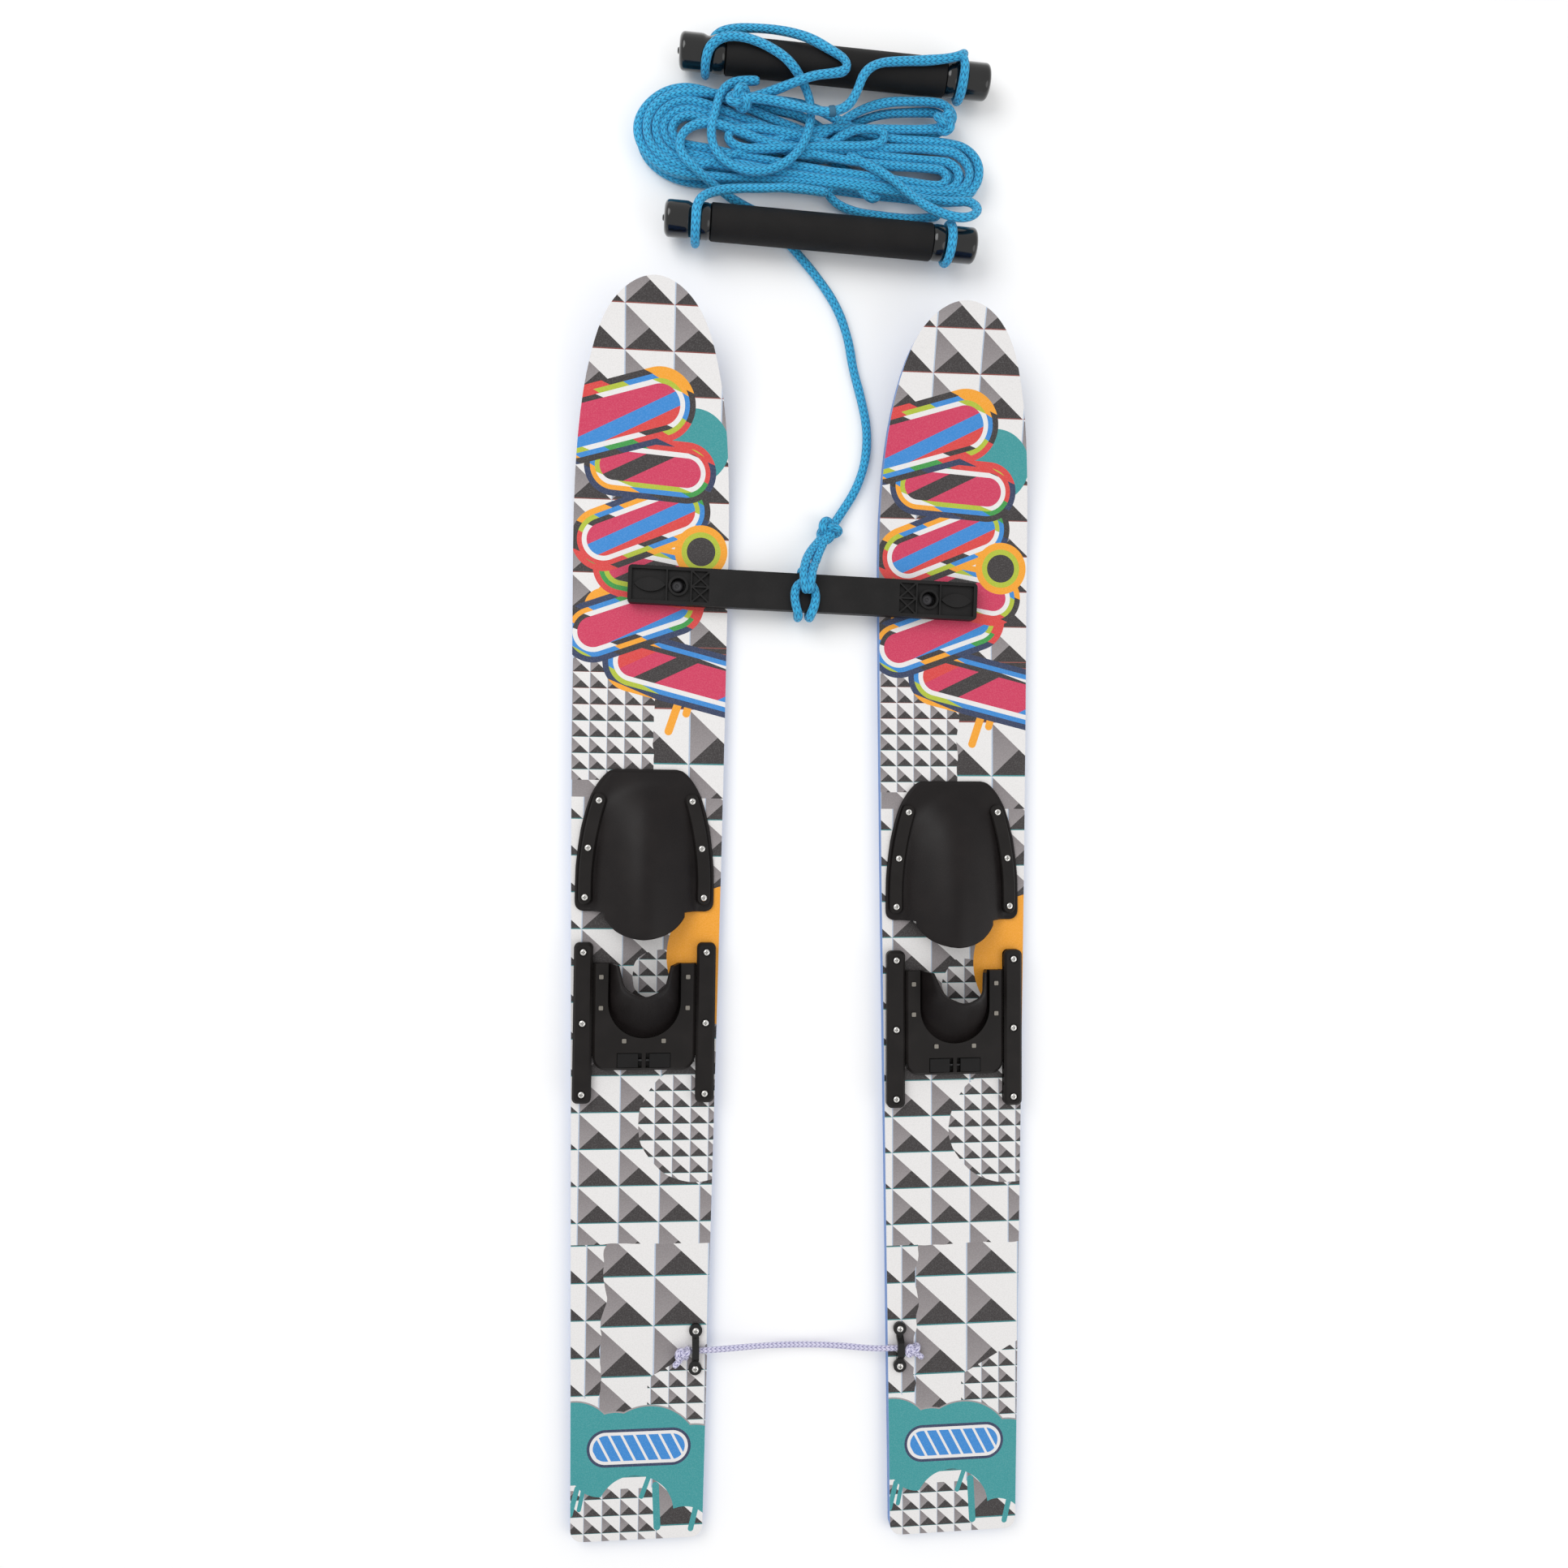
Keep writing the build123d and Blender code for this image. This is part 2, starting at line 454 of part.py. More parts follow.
def rear_knot(side):
    """The stopper knot outside the clip with the cord's cut end, as plain rounds."""
    (x, y), (end_x, end_y) = REAR_KNOTS[side]
    knot = Pos(x, y, KNOT_Z) * Rot(0, 90, 0) * Cylinder(KNOT_R, 2 * KNOT_HALF)
    knot = fillet(knot.edges(), KNOT_HALF * 0.9)
    dx, dy = end_x - x, end_y - y
    tail = Plane(origin=(x, y, SKI_THICKNESS + 3.2), z_dir=(dx, dy, 0)) * extrude(
        Circle(TAIL_END_R), amount=math.hypot(dx, dy))
    return knot + tail


# ---- crossbar ----


def bar_frame():
    return Location((*BAR_CENTRE, 0), (0, 0, BAR_TURN))


def bar_hole(side):
    """Centre of one of the crossbar's holes, in the whole part's frame."""
    a = math.radians(BAR_TURN)
    reach = BAR_HOLE_X * INNER_SIDE[side] * -1
    return (BAR_CENTRE[0] + reach * math.cos(a), BAR_CENTRE[1] + reach * math.sin(a))


def stud_centre(side):
    x, y = bar_hole(side)
    return (x + STUD_OFFSET, y)


def lens():
    """A pointed oval: where two large circles overlap."""
    half, rise = LENS_LENGTH / 2, LENS_WIDTH / 2
    radius = (half**2 + rise**2) / (2 * rise)
    return (Pos(0, radius - rise) * Circle(radius)) & (Pos(0, rise - radius) * Circle(radius))


def truss(x_low, x_high):
    """Crossed thin ribs that fill one cell of the bar."""
    half = BAR_WIDTH / 2 - BAR_RIM
    middle, width = (x_low + x_high) / 2, x_high - x_low
    ribs = Pos(middle, 0) * Rectangle(width, BAR_RIB)
    for y_low, y_high in ((-half, 0), (0, half)):
        slope = math.degrees(math.atan2(y_high - y_low, width))
        length = math.hypot(y_high - y_low, width)
        for turn in (slope, -slope):
            ribs += Pos(middle, (y_low + y_high) / 2) * Rot(0, 0, turn) * Rectangle(length, BAR_RIB)
    return ribs


def crossbar():
    plan = RectangleRounded(BAR_LENGTH, BAR_WIDTH, BAR_CORNER)
    bar = Pos(0, 0, BAR_LOW) * extrude(plan, amount=BAR_HIGH - BAR_LOW)
    inner_width = BAR_WIDTH - 2 * BAR_RIM
    truss_low, truss_high = FIELDS[0]
    for turn in (0, 180):
        floor = Sketch()
        for low, high in FIELDS:
            floor += Pos((low + high) / 2, 0) * Rectangle(high - low, inner_width)
        floor -= Pos(BAR_HOLE_X, 0) * Circle(BAR_BOSS_R)
        floor -= Pos(LENS_X + 1.5, 0) * lens()
        floor -= truss(truss_low, truss_high)
        recess = Pos(0, 0, BAR_HIGH - BAR_RECESS) * extrude(floor, amount=BAR_RECESS + 1)
        hole = cylinder(BAR_HOLE_X, 0, BAR_LOW - 1, BAR_HIGH + 1, BAR_HOLE_R)
        bar -= Rot(0, 0, turn) * (recess + hole)
    return bar_frame() * bar


def bar_stud(side):
    """The post that the bar drops over, with its own shank in the ski."""
    x, y = stud_centre(side)
    post = cylinder(x, y, SKI_THICKNESS, STUD_TOP, STUD_R)
    post = chamfer(post.edges().sort_by(Axis.Z)[-1], 1.0)
    flange = cylinder(x, y, SKI_THICKNESS, SKI_THICKNESS + STUD_FLANGE_HEIGHT, STUD_FLANGE_R)
    return post + flange + cylinder(x, y, SHANK_BOTTOM, SKI_THICKNESS, SHANK_R)


# ---- handles ----


def handle_place(name):
    """From a handle's own frame, its axis along X, to where it lies."""
    x, y, z, turn = HANDLES[name]
    return Location((x, y, z), (0, 0, turn))


def lying(x_low, x_high, radius):
    """A cylinder about the X axis."""
    return Pos(x_low, 0, 0) * Rot(0, 90, 0) * Cylinder(radius, x_high - x_low,
                                                       align=(Align.CENTER, Align.CENTER, Align.MIN))


def handle_core():
    half = HANDLE_LENGTH / 2 - 6
    return lying(-half, half, CORE_R) - lying(-half - 1, half + 1, CORE_R - CORE_WALL)


def handle_grip():
    half = HANDLE_LENGTH / 2 - CAP_LENGTH
    grip = lying(-half, half, GRIP_R)
    grip = fillet(grip.edges(), 1.2)
    return grip - lying(-half - 1, half + 1, CORE_R)


def handle_cap(sign):
    """An end cap on the core, with the neck that the rope sits in and a small nib at its end."""
    end = HANDLE_LENGTH / 2
    cap = lying(end - CAP_LENGTH, end, CAP_R)
    cap = fillet(cap.edges().sort_by(Axis.X)[-1], CAP_ROUND)
    cap = cap + lying(end - 1, end + NIB_LENGTH, NIB_R)
    neck = (end - NECK_END, end - NECK_START)
    cap -= lying(*neck, CAP_R + 5) - lying(*neck, NECK_R)
    cap -= lying(end - CAP_LENGTH - 1, end - 6, CORE_R)
    return cap if sign > 0 else cap.mirror(Plane.YZ)


# ---- ropes ----


def turn_radii(points):
    """One radius for each inner point: 0.45 of the shorter run over the tangent of half the turn."""
    corners = [Vector(*p) for p in points]
    radii = []
    for before, here, after in zip(corners, corners[1:], corners[2:]):
        first, second = here - before, after - here
        turn = math.radians(first.get_angle(second))
        radii.append(0.45 * min(first.length, second.length) / math.tan(turn / 2))
    return radii


def tube(name, points, diameter):
    """A round cord along straight runs joined by tangent arcs."""
    radii = turn_radii(points)
    path = FilletPolyline(*points, radius=radii)
    section = Plane(origin=path.position_at(0), z_dir=path.tangent_at(0)) * Circle(diameter / 2)
    solid = sweep(section, path=path)
    expected = math.pi * diameter**2 / 4 * path.length
    print(name, "length", round(path.length), "volume ratio", round(solid.volume / expected, 4),
          "smallest radii", [round(r, 1) for r in sorted(radii)[:4]])
    return solid


def tow_hitch():
    """The rope's turns round the middle of the bar, as one flat ring of the rope's thickness."""
    gap = HITCH_GAP
    bore = BAR_WIDTH / 2 + gap
    inner = block(-HITCH_WIDTH, HITCH_WIDTH, -bore, bore, BAR_LOW - gap, BAR_HIGH + gap)
    half = bore + ROPE_D
    outer = block(HITCH_X - HITCH_WIDTH / 2, HITCH_X + HITCH_WIDTH / 2, -half, half, BAR_LOW - gap - ROPE_D,
                  BAR_HIGH + gap + ROPE_D)
    outer = fillet(outer.edges().filter_by(Axis.X), 6)
    return bar_frame() * (outer - inner)


def tow_knot():
    knot = Rot(0, 90, 0) * Cylinder(TOW_KNOT_R, 2 * TOW_KNOT_HALF)
    knot = fillet(knot.edges(), TOW_KNOT_HALF * 0.9)
    return Location(TOW_KNOT, (0, 0, 62)) * knot


def lower_right():
    """The strand that lies over the handle, and the loop round the handle's neck beneath it."""
    strand = tube("lower_rope_right", LOWER_RIGHT_ROUTE, ROPE_D)
    loop = handle_place("lower") * Pos(LOOP_X, 0, 0) * Rot(0, 90, 0) * Torus(LOOP_R, ROPE_D / 2)
    return Compound([strand, loop])


def rope_hank():
    """The outer shape of the wound rope: two round lobes and what lies between them."""
    left, right = [Pos(x, y) * Circle(r) for x, y, r in HANK_LOBES.values()]
    plan = make_hull((left + right).edges())
    hank = Pos(0, 0, HANK_FLOOR) * extrude(plan, amount=HANK_HEIGHT)
    bottom, top = hank.faces().sort_by(Axis.Z)[0], hank.faces().sort_by(Axis.Z)[-1]
    return fillet(bottom.edges() + top.edges(), 8)


# ---- writing ----


def ski_parts(side):
    outward = -INNER_SIDE[side]
    seats = {"toe": SKI_THICKNESS + FLANGE_THICKNESS + TOE_PLATE_THICKNESS,
             "rail": SKI_THICKNESS + RAIL_HEIGHT - 0.8,
             "clip": SKI_THICKNESS + CLIP_PAD_HEIGHT}
    local = {
        "base": base(), "core": core(side), "inserts": inserts(side), "top_sheet": top_sheet(side),
        "toe_rubber": toe_rubber(),
        "toe_plate_outer": toe_plate(outward), "toe_plate_inner": toe_plate(-outward),
        "toe_screws": screw_group(toe_screw_places(), seats["toe"]),
        "rail_outer": rail(outward), "rail_inner": rail(-outward),
        "rail_screws": screw_group(rail_screw_places(), seats["rail"]),
        "heel_plate": heel_plate(), "heel_rubber": heel_rubber(), "heel_rivets": heel_rivets(),
        "tab_outer": tab(outward), "tab_inner": tab(-outward), "tab_springs": tab_springs(),
        "cord_clip": cord_clip(side), "clip_screws": screw_group(clip_screw_places(side), seats["clip"]),
    }
    made = {f"{side}_{name}": placed(shape, side) for name, shape in local.items()}
    made[f"{side}_bar_stud"] = bar_stud(side)
    made[f"rear_knot_{side}"] = rear_knot(side)
    return made


def handle_parts(name):
    shapes = {"core": handle_core(), "grip": handle_grip(),
              "cap_left": handle_cap(-1), "cap_right": handle_cap(1)}
    return {f"{name}_handle_{part}": handle_place(name) * shape for part, shape in shapes.items()}


PARTS = {}
for side in POSES:
    PARTS.update(ski_parts(side))
for name in HANDLES:
    PARTS.update(handle_parts(name))
PARTS["crossbar"] = crossbar()
PARTS["tow_hitch"] = tow_hitch()
PARTS["tow_knot"] = tow_knot()
PARTS["rope_hank"] = rope_hank()
PARTS["rear_cord"] = tube("rear_cord", REAR_ROUTE, REAR_CORD_D)
PARTS["lower_rope_right"] = lower_right()
for node, route in (("tow_lead", LEAD_ROUTE), ("upper_rope_left", UPPER_LEFT_ROUTE),
                    ("upper_rope_right", UPPER_RIGHT_ROUTE),
                    ("lower_rope_left", LOWER_LEFT_ROUTE)):
    PARTS[node] = tube(node, route, ROPE_D)

for node, shape in PARTS.items():
    export_step(shape, f"parts/{node}.step")
print(len(PARTS), "nodes")
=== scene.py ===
import math
import random

import bmesh
import bpy
from mathutils import Matrix, Vector


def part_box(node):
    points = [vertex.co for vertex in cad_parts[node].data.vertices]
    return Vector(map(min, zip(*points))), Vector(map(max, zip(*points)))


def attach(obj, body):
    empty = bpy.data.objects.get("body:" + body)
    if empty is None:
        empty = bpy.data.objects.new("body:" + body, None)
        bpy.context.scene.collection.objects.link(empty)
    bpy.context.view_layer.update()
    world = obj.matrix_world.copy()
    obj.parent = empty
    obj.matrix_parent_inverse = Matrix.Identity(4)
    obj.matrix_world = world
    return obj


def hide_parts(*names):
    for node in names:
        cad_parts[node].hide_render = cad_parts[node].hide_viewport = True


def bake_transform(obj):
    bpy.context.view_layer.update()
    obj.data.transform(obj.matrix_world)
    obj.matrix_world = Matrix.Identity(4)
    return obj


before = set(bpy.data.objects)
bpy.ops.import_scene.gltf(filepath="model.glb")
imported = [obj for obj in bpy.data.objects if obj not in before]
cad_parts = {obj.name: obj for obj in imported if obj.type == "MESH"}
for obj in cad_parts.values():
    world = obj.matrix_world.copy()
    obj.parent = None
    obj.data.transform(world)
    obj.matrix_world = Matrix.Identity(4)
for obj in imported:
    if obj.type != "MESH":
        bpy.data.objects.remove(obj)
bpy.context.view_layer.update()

MM = 0.001

# ---------------- camera, light and floor

CAMERA_PLACE = (-0.15043, -0.00263, 1.22507)
CAMERA_TURN = (0.0078, -0.1082, 0.0)
CAMERA_LENS = 29.32
SENSOR_WIDTH = 36
FLOOR_HALF = 30.0
WORLD_STRENGTH = 0.80
# disk lights: name, place, the point aimed at, diameter in metres and power in watts
LIGHTS = [("key", (-1.3, 1.2, 1.9), (0, 0.1, 0), 1.7, 24), ("fill", (1.7, -0.9, 1.7), (0, -0.1, 0), 1.9, 10)]


def in_scene(name, data):
    thing = bpy.data.objects.new(name, data)
    bpy.context.collection.objects.link(thing)
    return thing


def make_camera():
    data = bpy.data.cameras.new("camera")
    data.lens = CAMERA_LENS
    data.sensor_width = SENSOR_WIDTH
    data.clip_start = 0.01
    camera = in_scene("camera", data)
    camera.location = CAMERA_PLACE
    camera.rotation_euler = CAMERA_TURN
    bpy.context.scene.camera = camera


def disk_light(name, place, aim, size, power):
    data = bpy.data.lights.new(name, "AREA")
    data.shape = "DISK"
    data.size = size
    data.energy = power
    light = in_scene(name, data)
    light.location = place
    light.rotation_euler = (Vector(aim) - Vector(place)).to_track_quat("-Z", "Y").to_euler()


def make_light():
    scene = bpy.context.scene
    scene.view_settings.view_transform = "Standard"
    world = bpy.data.worlds.new("studio")
    world.use_nodes = True
    background = world.node_tree.nodes["Background"]
    background.inputs["Color"].default_value = (1, 1, 1, 1)
    background.inputs["Strength"].default_value = WORLD_STRENGTH
    scene.world = world
    for light in LIGHTS:
        disk_light(*light)


def make_floor():
    mesh = bpy.data.meshes.new("floor")
    corners = [(x * FLOOR_HALF, y * FLOOR_HALF, 0) for x, y in ((-1, -1), (1, -1), (1, 1), (-1, 1))]
    mesh.from_pydata(corners, [], [(0, 1, 2, 3)])
    floor = in_scene("floor", mesh)
    material = Surface("floor", roughness=0.9)
    material.colour(hex_colour("#fafafa"))
    floor.data.materials.append(material.done())


# ---------------- surfaces


def hex_colour(text):
    """A linear colour from a hex sRGB one."""
    parts = [int(text[i:i + 2], 16) / 255 for i in (1, 3, 5)]
    return tuple(c / 12.92 if c <= 0.04045 else ((c + 0.055) / 1.055) ** 2.4 for c in parts) + (1.0,)


class Field:
    """A number that varies over the surface, worked out by math nodes."""

    def __init__(self, tree, source):
        self.tree = tree
        self.source = source

    def math(self, operation, *others, clamp=False):
        node = self.tree.nodes.new("ShaderNodeMath")
        node.operation = operation
        node.use_clamp = clamp
        for socket, value in zip(node.inputs, (self, *others)):
            if isinstance(value, Field):
                self.tree.links.new(value.source, socket)
            else:
                socket.default_value = value
        return Field(self.tree, node.outputs[0])

    def __add__(self, other):
        return self.math("ADD", other)

    def __sub__(self, other):
        return self.math("SUBTRACT", other)

    def __mul__(self, other):
        return self.math("MULTIPLY", other)

    def __truediv__(self, other):
        return self.math("DIVIDE", other)

    def __lt__(self, other):
        return self.math("LESS_THAN", other)

    def __gt__(self, other):
        return self.math("GREATER_THAN", other)

    def times_plus(self, factor, term):
        return self.math("MULTIPLY_ADD", factor, term)

    def fraction(self):
        return self.math("FRACT")

    def size(self):
        return self.math("ABSOLUTE")

    def least(self, other):
        return self.math("MINIMUM", other)

    def most(self, other):
        return self.math("MAXIMUM", other)

    def flipped(self):
        return self.times_plus(-1.0, 1.0)

    def hypot(self, other):
        return (self * self + other * other).math("SQRT")

    def chosen(self, other, mask):
        """This field where mask is 0 and the other where it is 1."""
        node = self.tree.nodes.new("ShaderNodeMix")
        for socket, value in ((node.inputs[0], mask), (node.inputs[2], self), (node.inputs[3], other)):
            self.tree.links.new(value.source, socket)
        return Field(self.tree, node.outputs[0])

    def ramp(self, low, high):
        """0 below low, 1 above high, and straight between."""
        return self.math("MULTIPLY_ADD", 1 / (high - low), -low / (high - low), clamp=True)


class Surface:
    """A material being built: a colour that masks paint over, a roughness and a relief."""

    def __init__(self, name, roughness=0.5, metallic=0.0, coat=0.0, sheen=0.0, specular=0.5):
        self.material = bpy.data.materials.new(name)
        self.material.use_nodes = True
        self.tree = self.material.node_tree
        self.shader = self.tree.nodes["Principled BSDF"]
        values = {"Roughness": roughness, "Metallic": metallic, "Coat Weight": coat, "Coat Roughness": 0.12,
                  "Sheen Weight": sheen, "Specular IOR Level": specular}
        for socket, value in values.items():
            self.shader.inputs[socket].default_value = value
        self.painted = None

    def node(self, kind, **settings):
        node = self.tree.nodes.new(kind)
        for key, value in settings.items():
            setattr(node, key, value)
        return node

    def axes(self, kind, output):
        """The three parts, as fields, of what a node of this kind gives out."""
        split = self.node("ShaderNodeSeparateXYZ")
        self.tree.links.new(self.node(kind).outputs[output], split.inputs[0])
        return [Field(self.tree, out) for out in split.outputs]

    def noise(self, scale, detail=2.0, stretch=(1, 1, 1), uv=False):
        kind, output = ("ShaderNodeUVMap", "UV") if uv else ("ShaderNodeTexCoord", "Object")
        source = self.node(kind).outputs[output]
        mapping = self.node("ShaderNodeMapping")
        mapping.inputs["Scale"].default_value = stretch
        texture = self.node("ShaderNodeTexNoise")
        texture.inputs["Scale"].default_value = scale
        texture.inputs["Detail"].default_value = detail
        self.tree.links.new(source, mapping.inputs[0])
        self.tree.links.new(mapping.outputs[0], texture.inputs["Vector"])
        return Field(self.tree, texture.outputs["Fac"])

    def colour(self, value):
        self.painted = value

    def paint(self, value, mask):
        """value, a colour or a colour socket, shows where mask is 1."""
        mix = self.node("ShaderNodeMix", data_type="RGBA")
        under, over = mix.inputs[6], mix.inputs[7]
        self.tree.links.new(mask.source, mix.inputs[0])
        for socket, shown in ((under, self.painted), (over, value)):
            if isinstance(shown, tuple):
                socket.default_value = shown
            else:
                self.tree.links.new(shown, socket)
        self.painted = mix.outputs[2]

    def bands(self, field, colours):
        """A colour socket that steps through colours as field runs from 0 to 1."""
        ramp = self.node("ShaderNodeValToRGB")
        ramp.color_ramp.interpolation = "CONSTANT"
        elements = ramp.color_ramp.elements
        while len(elements) < len(colours):
            elements.new(1.0)
        for k, colour in enumerate(colours):
            elements[k].position = k / len(colours)
            elements[k].color = colour
        self.tree.links.new(field.source, ramp.inputs[0])
        return ramp.outputs[0]

    def rough(self, field):
        self.tree.links.new(field.source, self.shader.inputs["Roughness"])

    def relief(self, field, depth, strength=1.0):
        bump = self.node("ShaderNodeBump")
        bump.inputs["Distance"].default_value = depth
        bump.inputs["Strength"].default_value = strength
        self.tree.links.new(field.source, bump.inputs["Height"])
        self.tree.links.new(bump.outputs[0], self.shader.inputs["Normal"])

    def shaded(self, reach, dark):
        """Darkens the hollows narrower than reach with painted shade, found by ambient occlusion."""
        occlusion = self.node("ShaderNodeAmbientOcclusion", samples=8)
        occlusion.inputs["Distance"].default_value = reach
        self.paint(dark, Field(self.tree, occlusion.outputs["AO"]).flipped())

    def done(self):
        if isinstance(self.painted, tuple):
            self.shader.inputs["Base Color"].default_value = self.painted
        else:
            self.tree.links.new(self.painted, self.shader.inputs["Base Color"])
        return self.material


def shown(name, mesh, material):
    """An object in the scene made from the bmesh, which is used up."""
    data = bpy.data.meshes.new(name)
    mesh.to_mesh(data)
    mesh.free()
    data.materials.append(material)
    return in_scene(name, data)


# ---------------- cords

# Routes and places are in millimetres, and thicknesses and steps in metres.
TOW_D = 0.0085
REAR_D = 0.0055
REAR_ROUTE = [
    (-107.5, -527.4, 15.2), (-86, -527.4, 15.3), (-66, -527.4, 13.2), (-42, -528.4, 8.6),
    (-14, -529.6, 5.8), (14, -531, 5.6), (40, -532.4, 8.2), (60, -533.4, 13), (78, -533.8, 15.4),
    (97.3, -533.8, 15.3),
]
LEAD_ROUTE = [
    (8.5, 214.5, 28.5), (16.5, 233.5, 17), (26.5, 252, 9.5), (38.5, 270, 4.6), (52.5, 292, 4.5),
    (62, 320, 4.5), (63.5, 351, 4.5), (57, 382, 4.5), (49, 410, 4.5), (45, 438, 4.5),
    (34, 469, 4.5), (14, 498, 4.5), (-12, 527, 4.5), (-34, 551.5, 4.5),
]
UPPER_LEFT_ROUTE = [
    (-61, 650, 31.2), (-42, 655, 33.5), (-20, 661, 40.5), (4, 668, 48.2), (24, 671.5, 47.8),
    (34.5, 675, 45.6), (38, 681.5, 44.8), (34.5, 688, 44.8), (23, 694.5, 44.8), (2, 706.5, 43),
    (-19, 716.5, 34), (-41, 722, 27), (-64, 722.5, 24), (-84, 719, 20), (-91.5, 709.5, 7.8),
    (-93, 697.5, 3.9), (-94, 684.6, 7.8), (-94.8, 678, 22), (-95, 683.4, 37), (-91, 694, 42.8),
    (-77, 702.5, 44.8), (-56, 701.8, 45), (-36, 694.5, 45), (-17, 683.5, 44.2), (-2.5, 669, 34.4),
    (5.5, 650, 31.2), (4, 628, 31.2), (-5, 606, 31.2), (-24, 589, 31.2), (-49, 582, 31.2),
    (-74, 588.5, 31.2), (-88, 604, 31.2), (-90, 623, 31.2), (-85, 640, 31.2), (-82, 653, 31.4),
    (-74, 664, 31.4), (-60, 669, 31.2), (-44, 669.5, 31.2),
]
UPPER_RIGHT_ROUTE = [
    (-57, 648, 40.8), (-34, 647, 41.2), (-8, 641.5, 42), (18, 637, 42), (38, 642.5, 42.6),
    (47, 657, 44.2), (53, 675, 45.6), (66, 685.5, 45), (88, 688.5, 44.8), (112, 690.5, 44.8),
    (134, 693.5, 45.2), (147.5, 698.5, 43.6), (152.6, 706.5, 34.5), (153, 708.6, 21.5),
    (152.5, 702.3, 7.6), (151.5, 688, 2.8), (150.6, 673.5, 7.4), (150, 667.4, 21.6), (150, 672.4, 36),
    (150.8, 683.4, 42.8),
]
# the lower strands start between the hank's turns, and the right one's end turns back in between them
LOWER_RIGHT_ROUTE = [
    (41, 608.5, 21.5), (77, 588.5, 31.2), (97, 571.5, 31.2), (113, 557.5, 36), (128, 545.5, 46),
    (145, 539.5, 51.5), (158, 544, 48.5), (164.5, 554, 42), (157, 563.5, 36.5), (142, 563, 33),
    (128, 566.5, 27.5), (113.5, 570, 22), (100, 575.5, 18), (90, 581.5, 16.5),
]
LOWER_LEFT_ROUTE = [
    (22, 572, 21), (-14, 570.5, 31.2), (-40, 568, 31.2), (-62, 567, 31.4), (-82, 562.5, 35),
    (-97, 554, 42), (-103.5, 543, 46.6), (-104.4, 530, 47), (-104.8, 518.6, 38.4), (-104.4, 515.6, 25),
    (-103.4, 521, 11.6), (-102.6, 534, 6.4), (-102, 548, 10.8),
]
# the last of the wrap round the upper handle's right neck, up to where it meets itself
NECK_CLOSING = [(151.2, 692.5, 43.2), (149.6, 700, 40.8)]
# the two strands of the hitch that lie over the bar, and the loop that comes up round it
STRAND_LEFT = [
    (19, 244, 10.5), (9.5, 234, 18), (2, 222.5, 27), (-2.5, 209, 34.5), (-3, 199, 38.5), (-1.2, 191, 37),
    (0, 189, 32.5), (0, 194, 30),
]
STRAND_RIGHT = [
    (9.5, 216.8, 27.2), (6.6, 210.5, 32.5), (5, 203.5, 37.2), (4, 197, 39), (3.2, 191, 37),
    (2.8, 189, 32.5), (2.8, 194, 30),
]
BAR_LOOP = [
    (-2, 210.5, 20), (-2, 210, 10.5), (-3, 200, 8.8), (-5, 182, 8.8), (-5.5, 167.5, 9.8),
    (-5.8, 164.5, 18.5), (-6.5, 167, 27.5), (-9.5, 176, 29.8), (-10.8, 186, 29.8), (-8, 195, 29.8),
    (0, 198.5, 29.8), (7.5, 194.5, 29.8), (10, 185, 29.8), (8.5, 175.5, 29.8), (5.2, 167, 27.5),
    (4.5, 164.5, 18.5), (5, 167.5, 9.8), (6.5, 182, 8.8), (7.5, 200, 8.8), (8, 210, 10.5), (8, 210.5, 20),
]
# the hank: the centre of its turns' left ends, and the heights of its layers from the top down
HANK_LEFT = (-107, 624)
HANK_LAYERS = (20.4, 12.4, 4.4)
# its turns: layer, halves of the left end, centre and halves of the right end, where the upper and the lower
# run pass the middle, and how far the turn rides up
HANK_TURNS = [
    (0, (19.5, 14.5), (122, 592, 17, 8.5), (602, 594), 0.6),
    (0, (28, 22), (126, 594, 25, 15), (609, 587), -0.8),
    (0, (36.5, 29.5), (129, 597, 33, 21.5), (617, 586), 0.8),
    (0, (45, 37), (104, 651, 41, 13.5), (655, 632), 2.2),
    (0, (53, 42.5), (131, 600, 41.5, 27), (626, 583), -0.6),
    (1, (25, 19), (125, 593, 21, 11), (606, 591), 0.5),
    (1, (34, 27), (126, 594, 29, 19), (613, 584), -0.5),
    (1, (50, 40), (104, 648, 36, 12), (647, 624), 0.8),
    (2, (30, 25), (126, 594, 27, 15), (606, 588), 0.2),
    (2, (51, 42), (130, 601, 42, 27), (622, 584), 0.0),
]
HANK_START = [
    (-34, 553.5, 4.5), (-60, 562, 7.5), (-82, 571, 19), (-104, 584, 29.5), (-119, 598, 30.5),
    (-118.5, 614, 30.5), (-107, 625, 30.2), (-88, 629, 29.6), (-60, 622, 27), (-20, 611, 23.5),
]
# the short fold above the middle and the slack end below the right
HANK_FOLD = [
    (40, 630, 25.5), (62, 633, 26.5), (76, 631, 26.5), (76, 621, 26), (62, 616, 25.5), (30, 615, 25.5),
    (-20, 610, 25), (-58, 607, 25), (-73, 613, 25.5), (-73, 623, 25.5), (-56, 628, 25.5), (-20, 627, 25),
]
HANK_END = [
    (58, 592, 8), (75, 581, 12), (67.5, 567.5, 16), (52, 580, 19), (36, 582.5, 18.5), (20.5, 577, 15.5),
    (31, 567, 10), (48, 561, 8.5), (68, 558.5, 8), (90, 557, 7.5), (111, 556.5, 8), (134, 560, 9),
]
# the angles, in degrees, of the points round a turn's two ends
LEFT_ARC = (-85, -118, -150, -182, -214, -246, -278)
RIGHT_ARC = (85, 50, 15, -20, -55, -90)
# how much of a right end's length beyond its half width is in its bend
LOBE_SHARE = 0.3
# where a turn's runs have points between its ends: right of the middle on the upper and the lower run, at the
# middle, and left of it
UPPER_RIGHT_X, LOWER_RIGHT_X, MIDDLE_X, LEFT_X = 60, 62, 8, -38
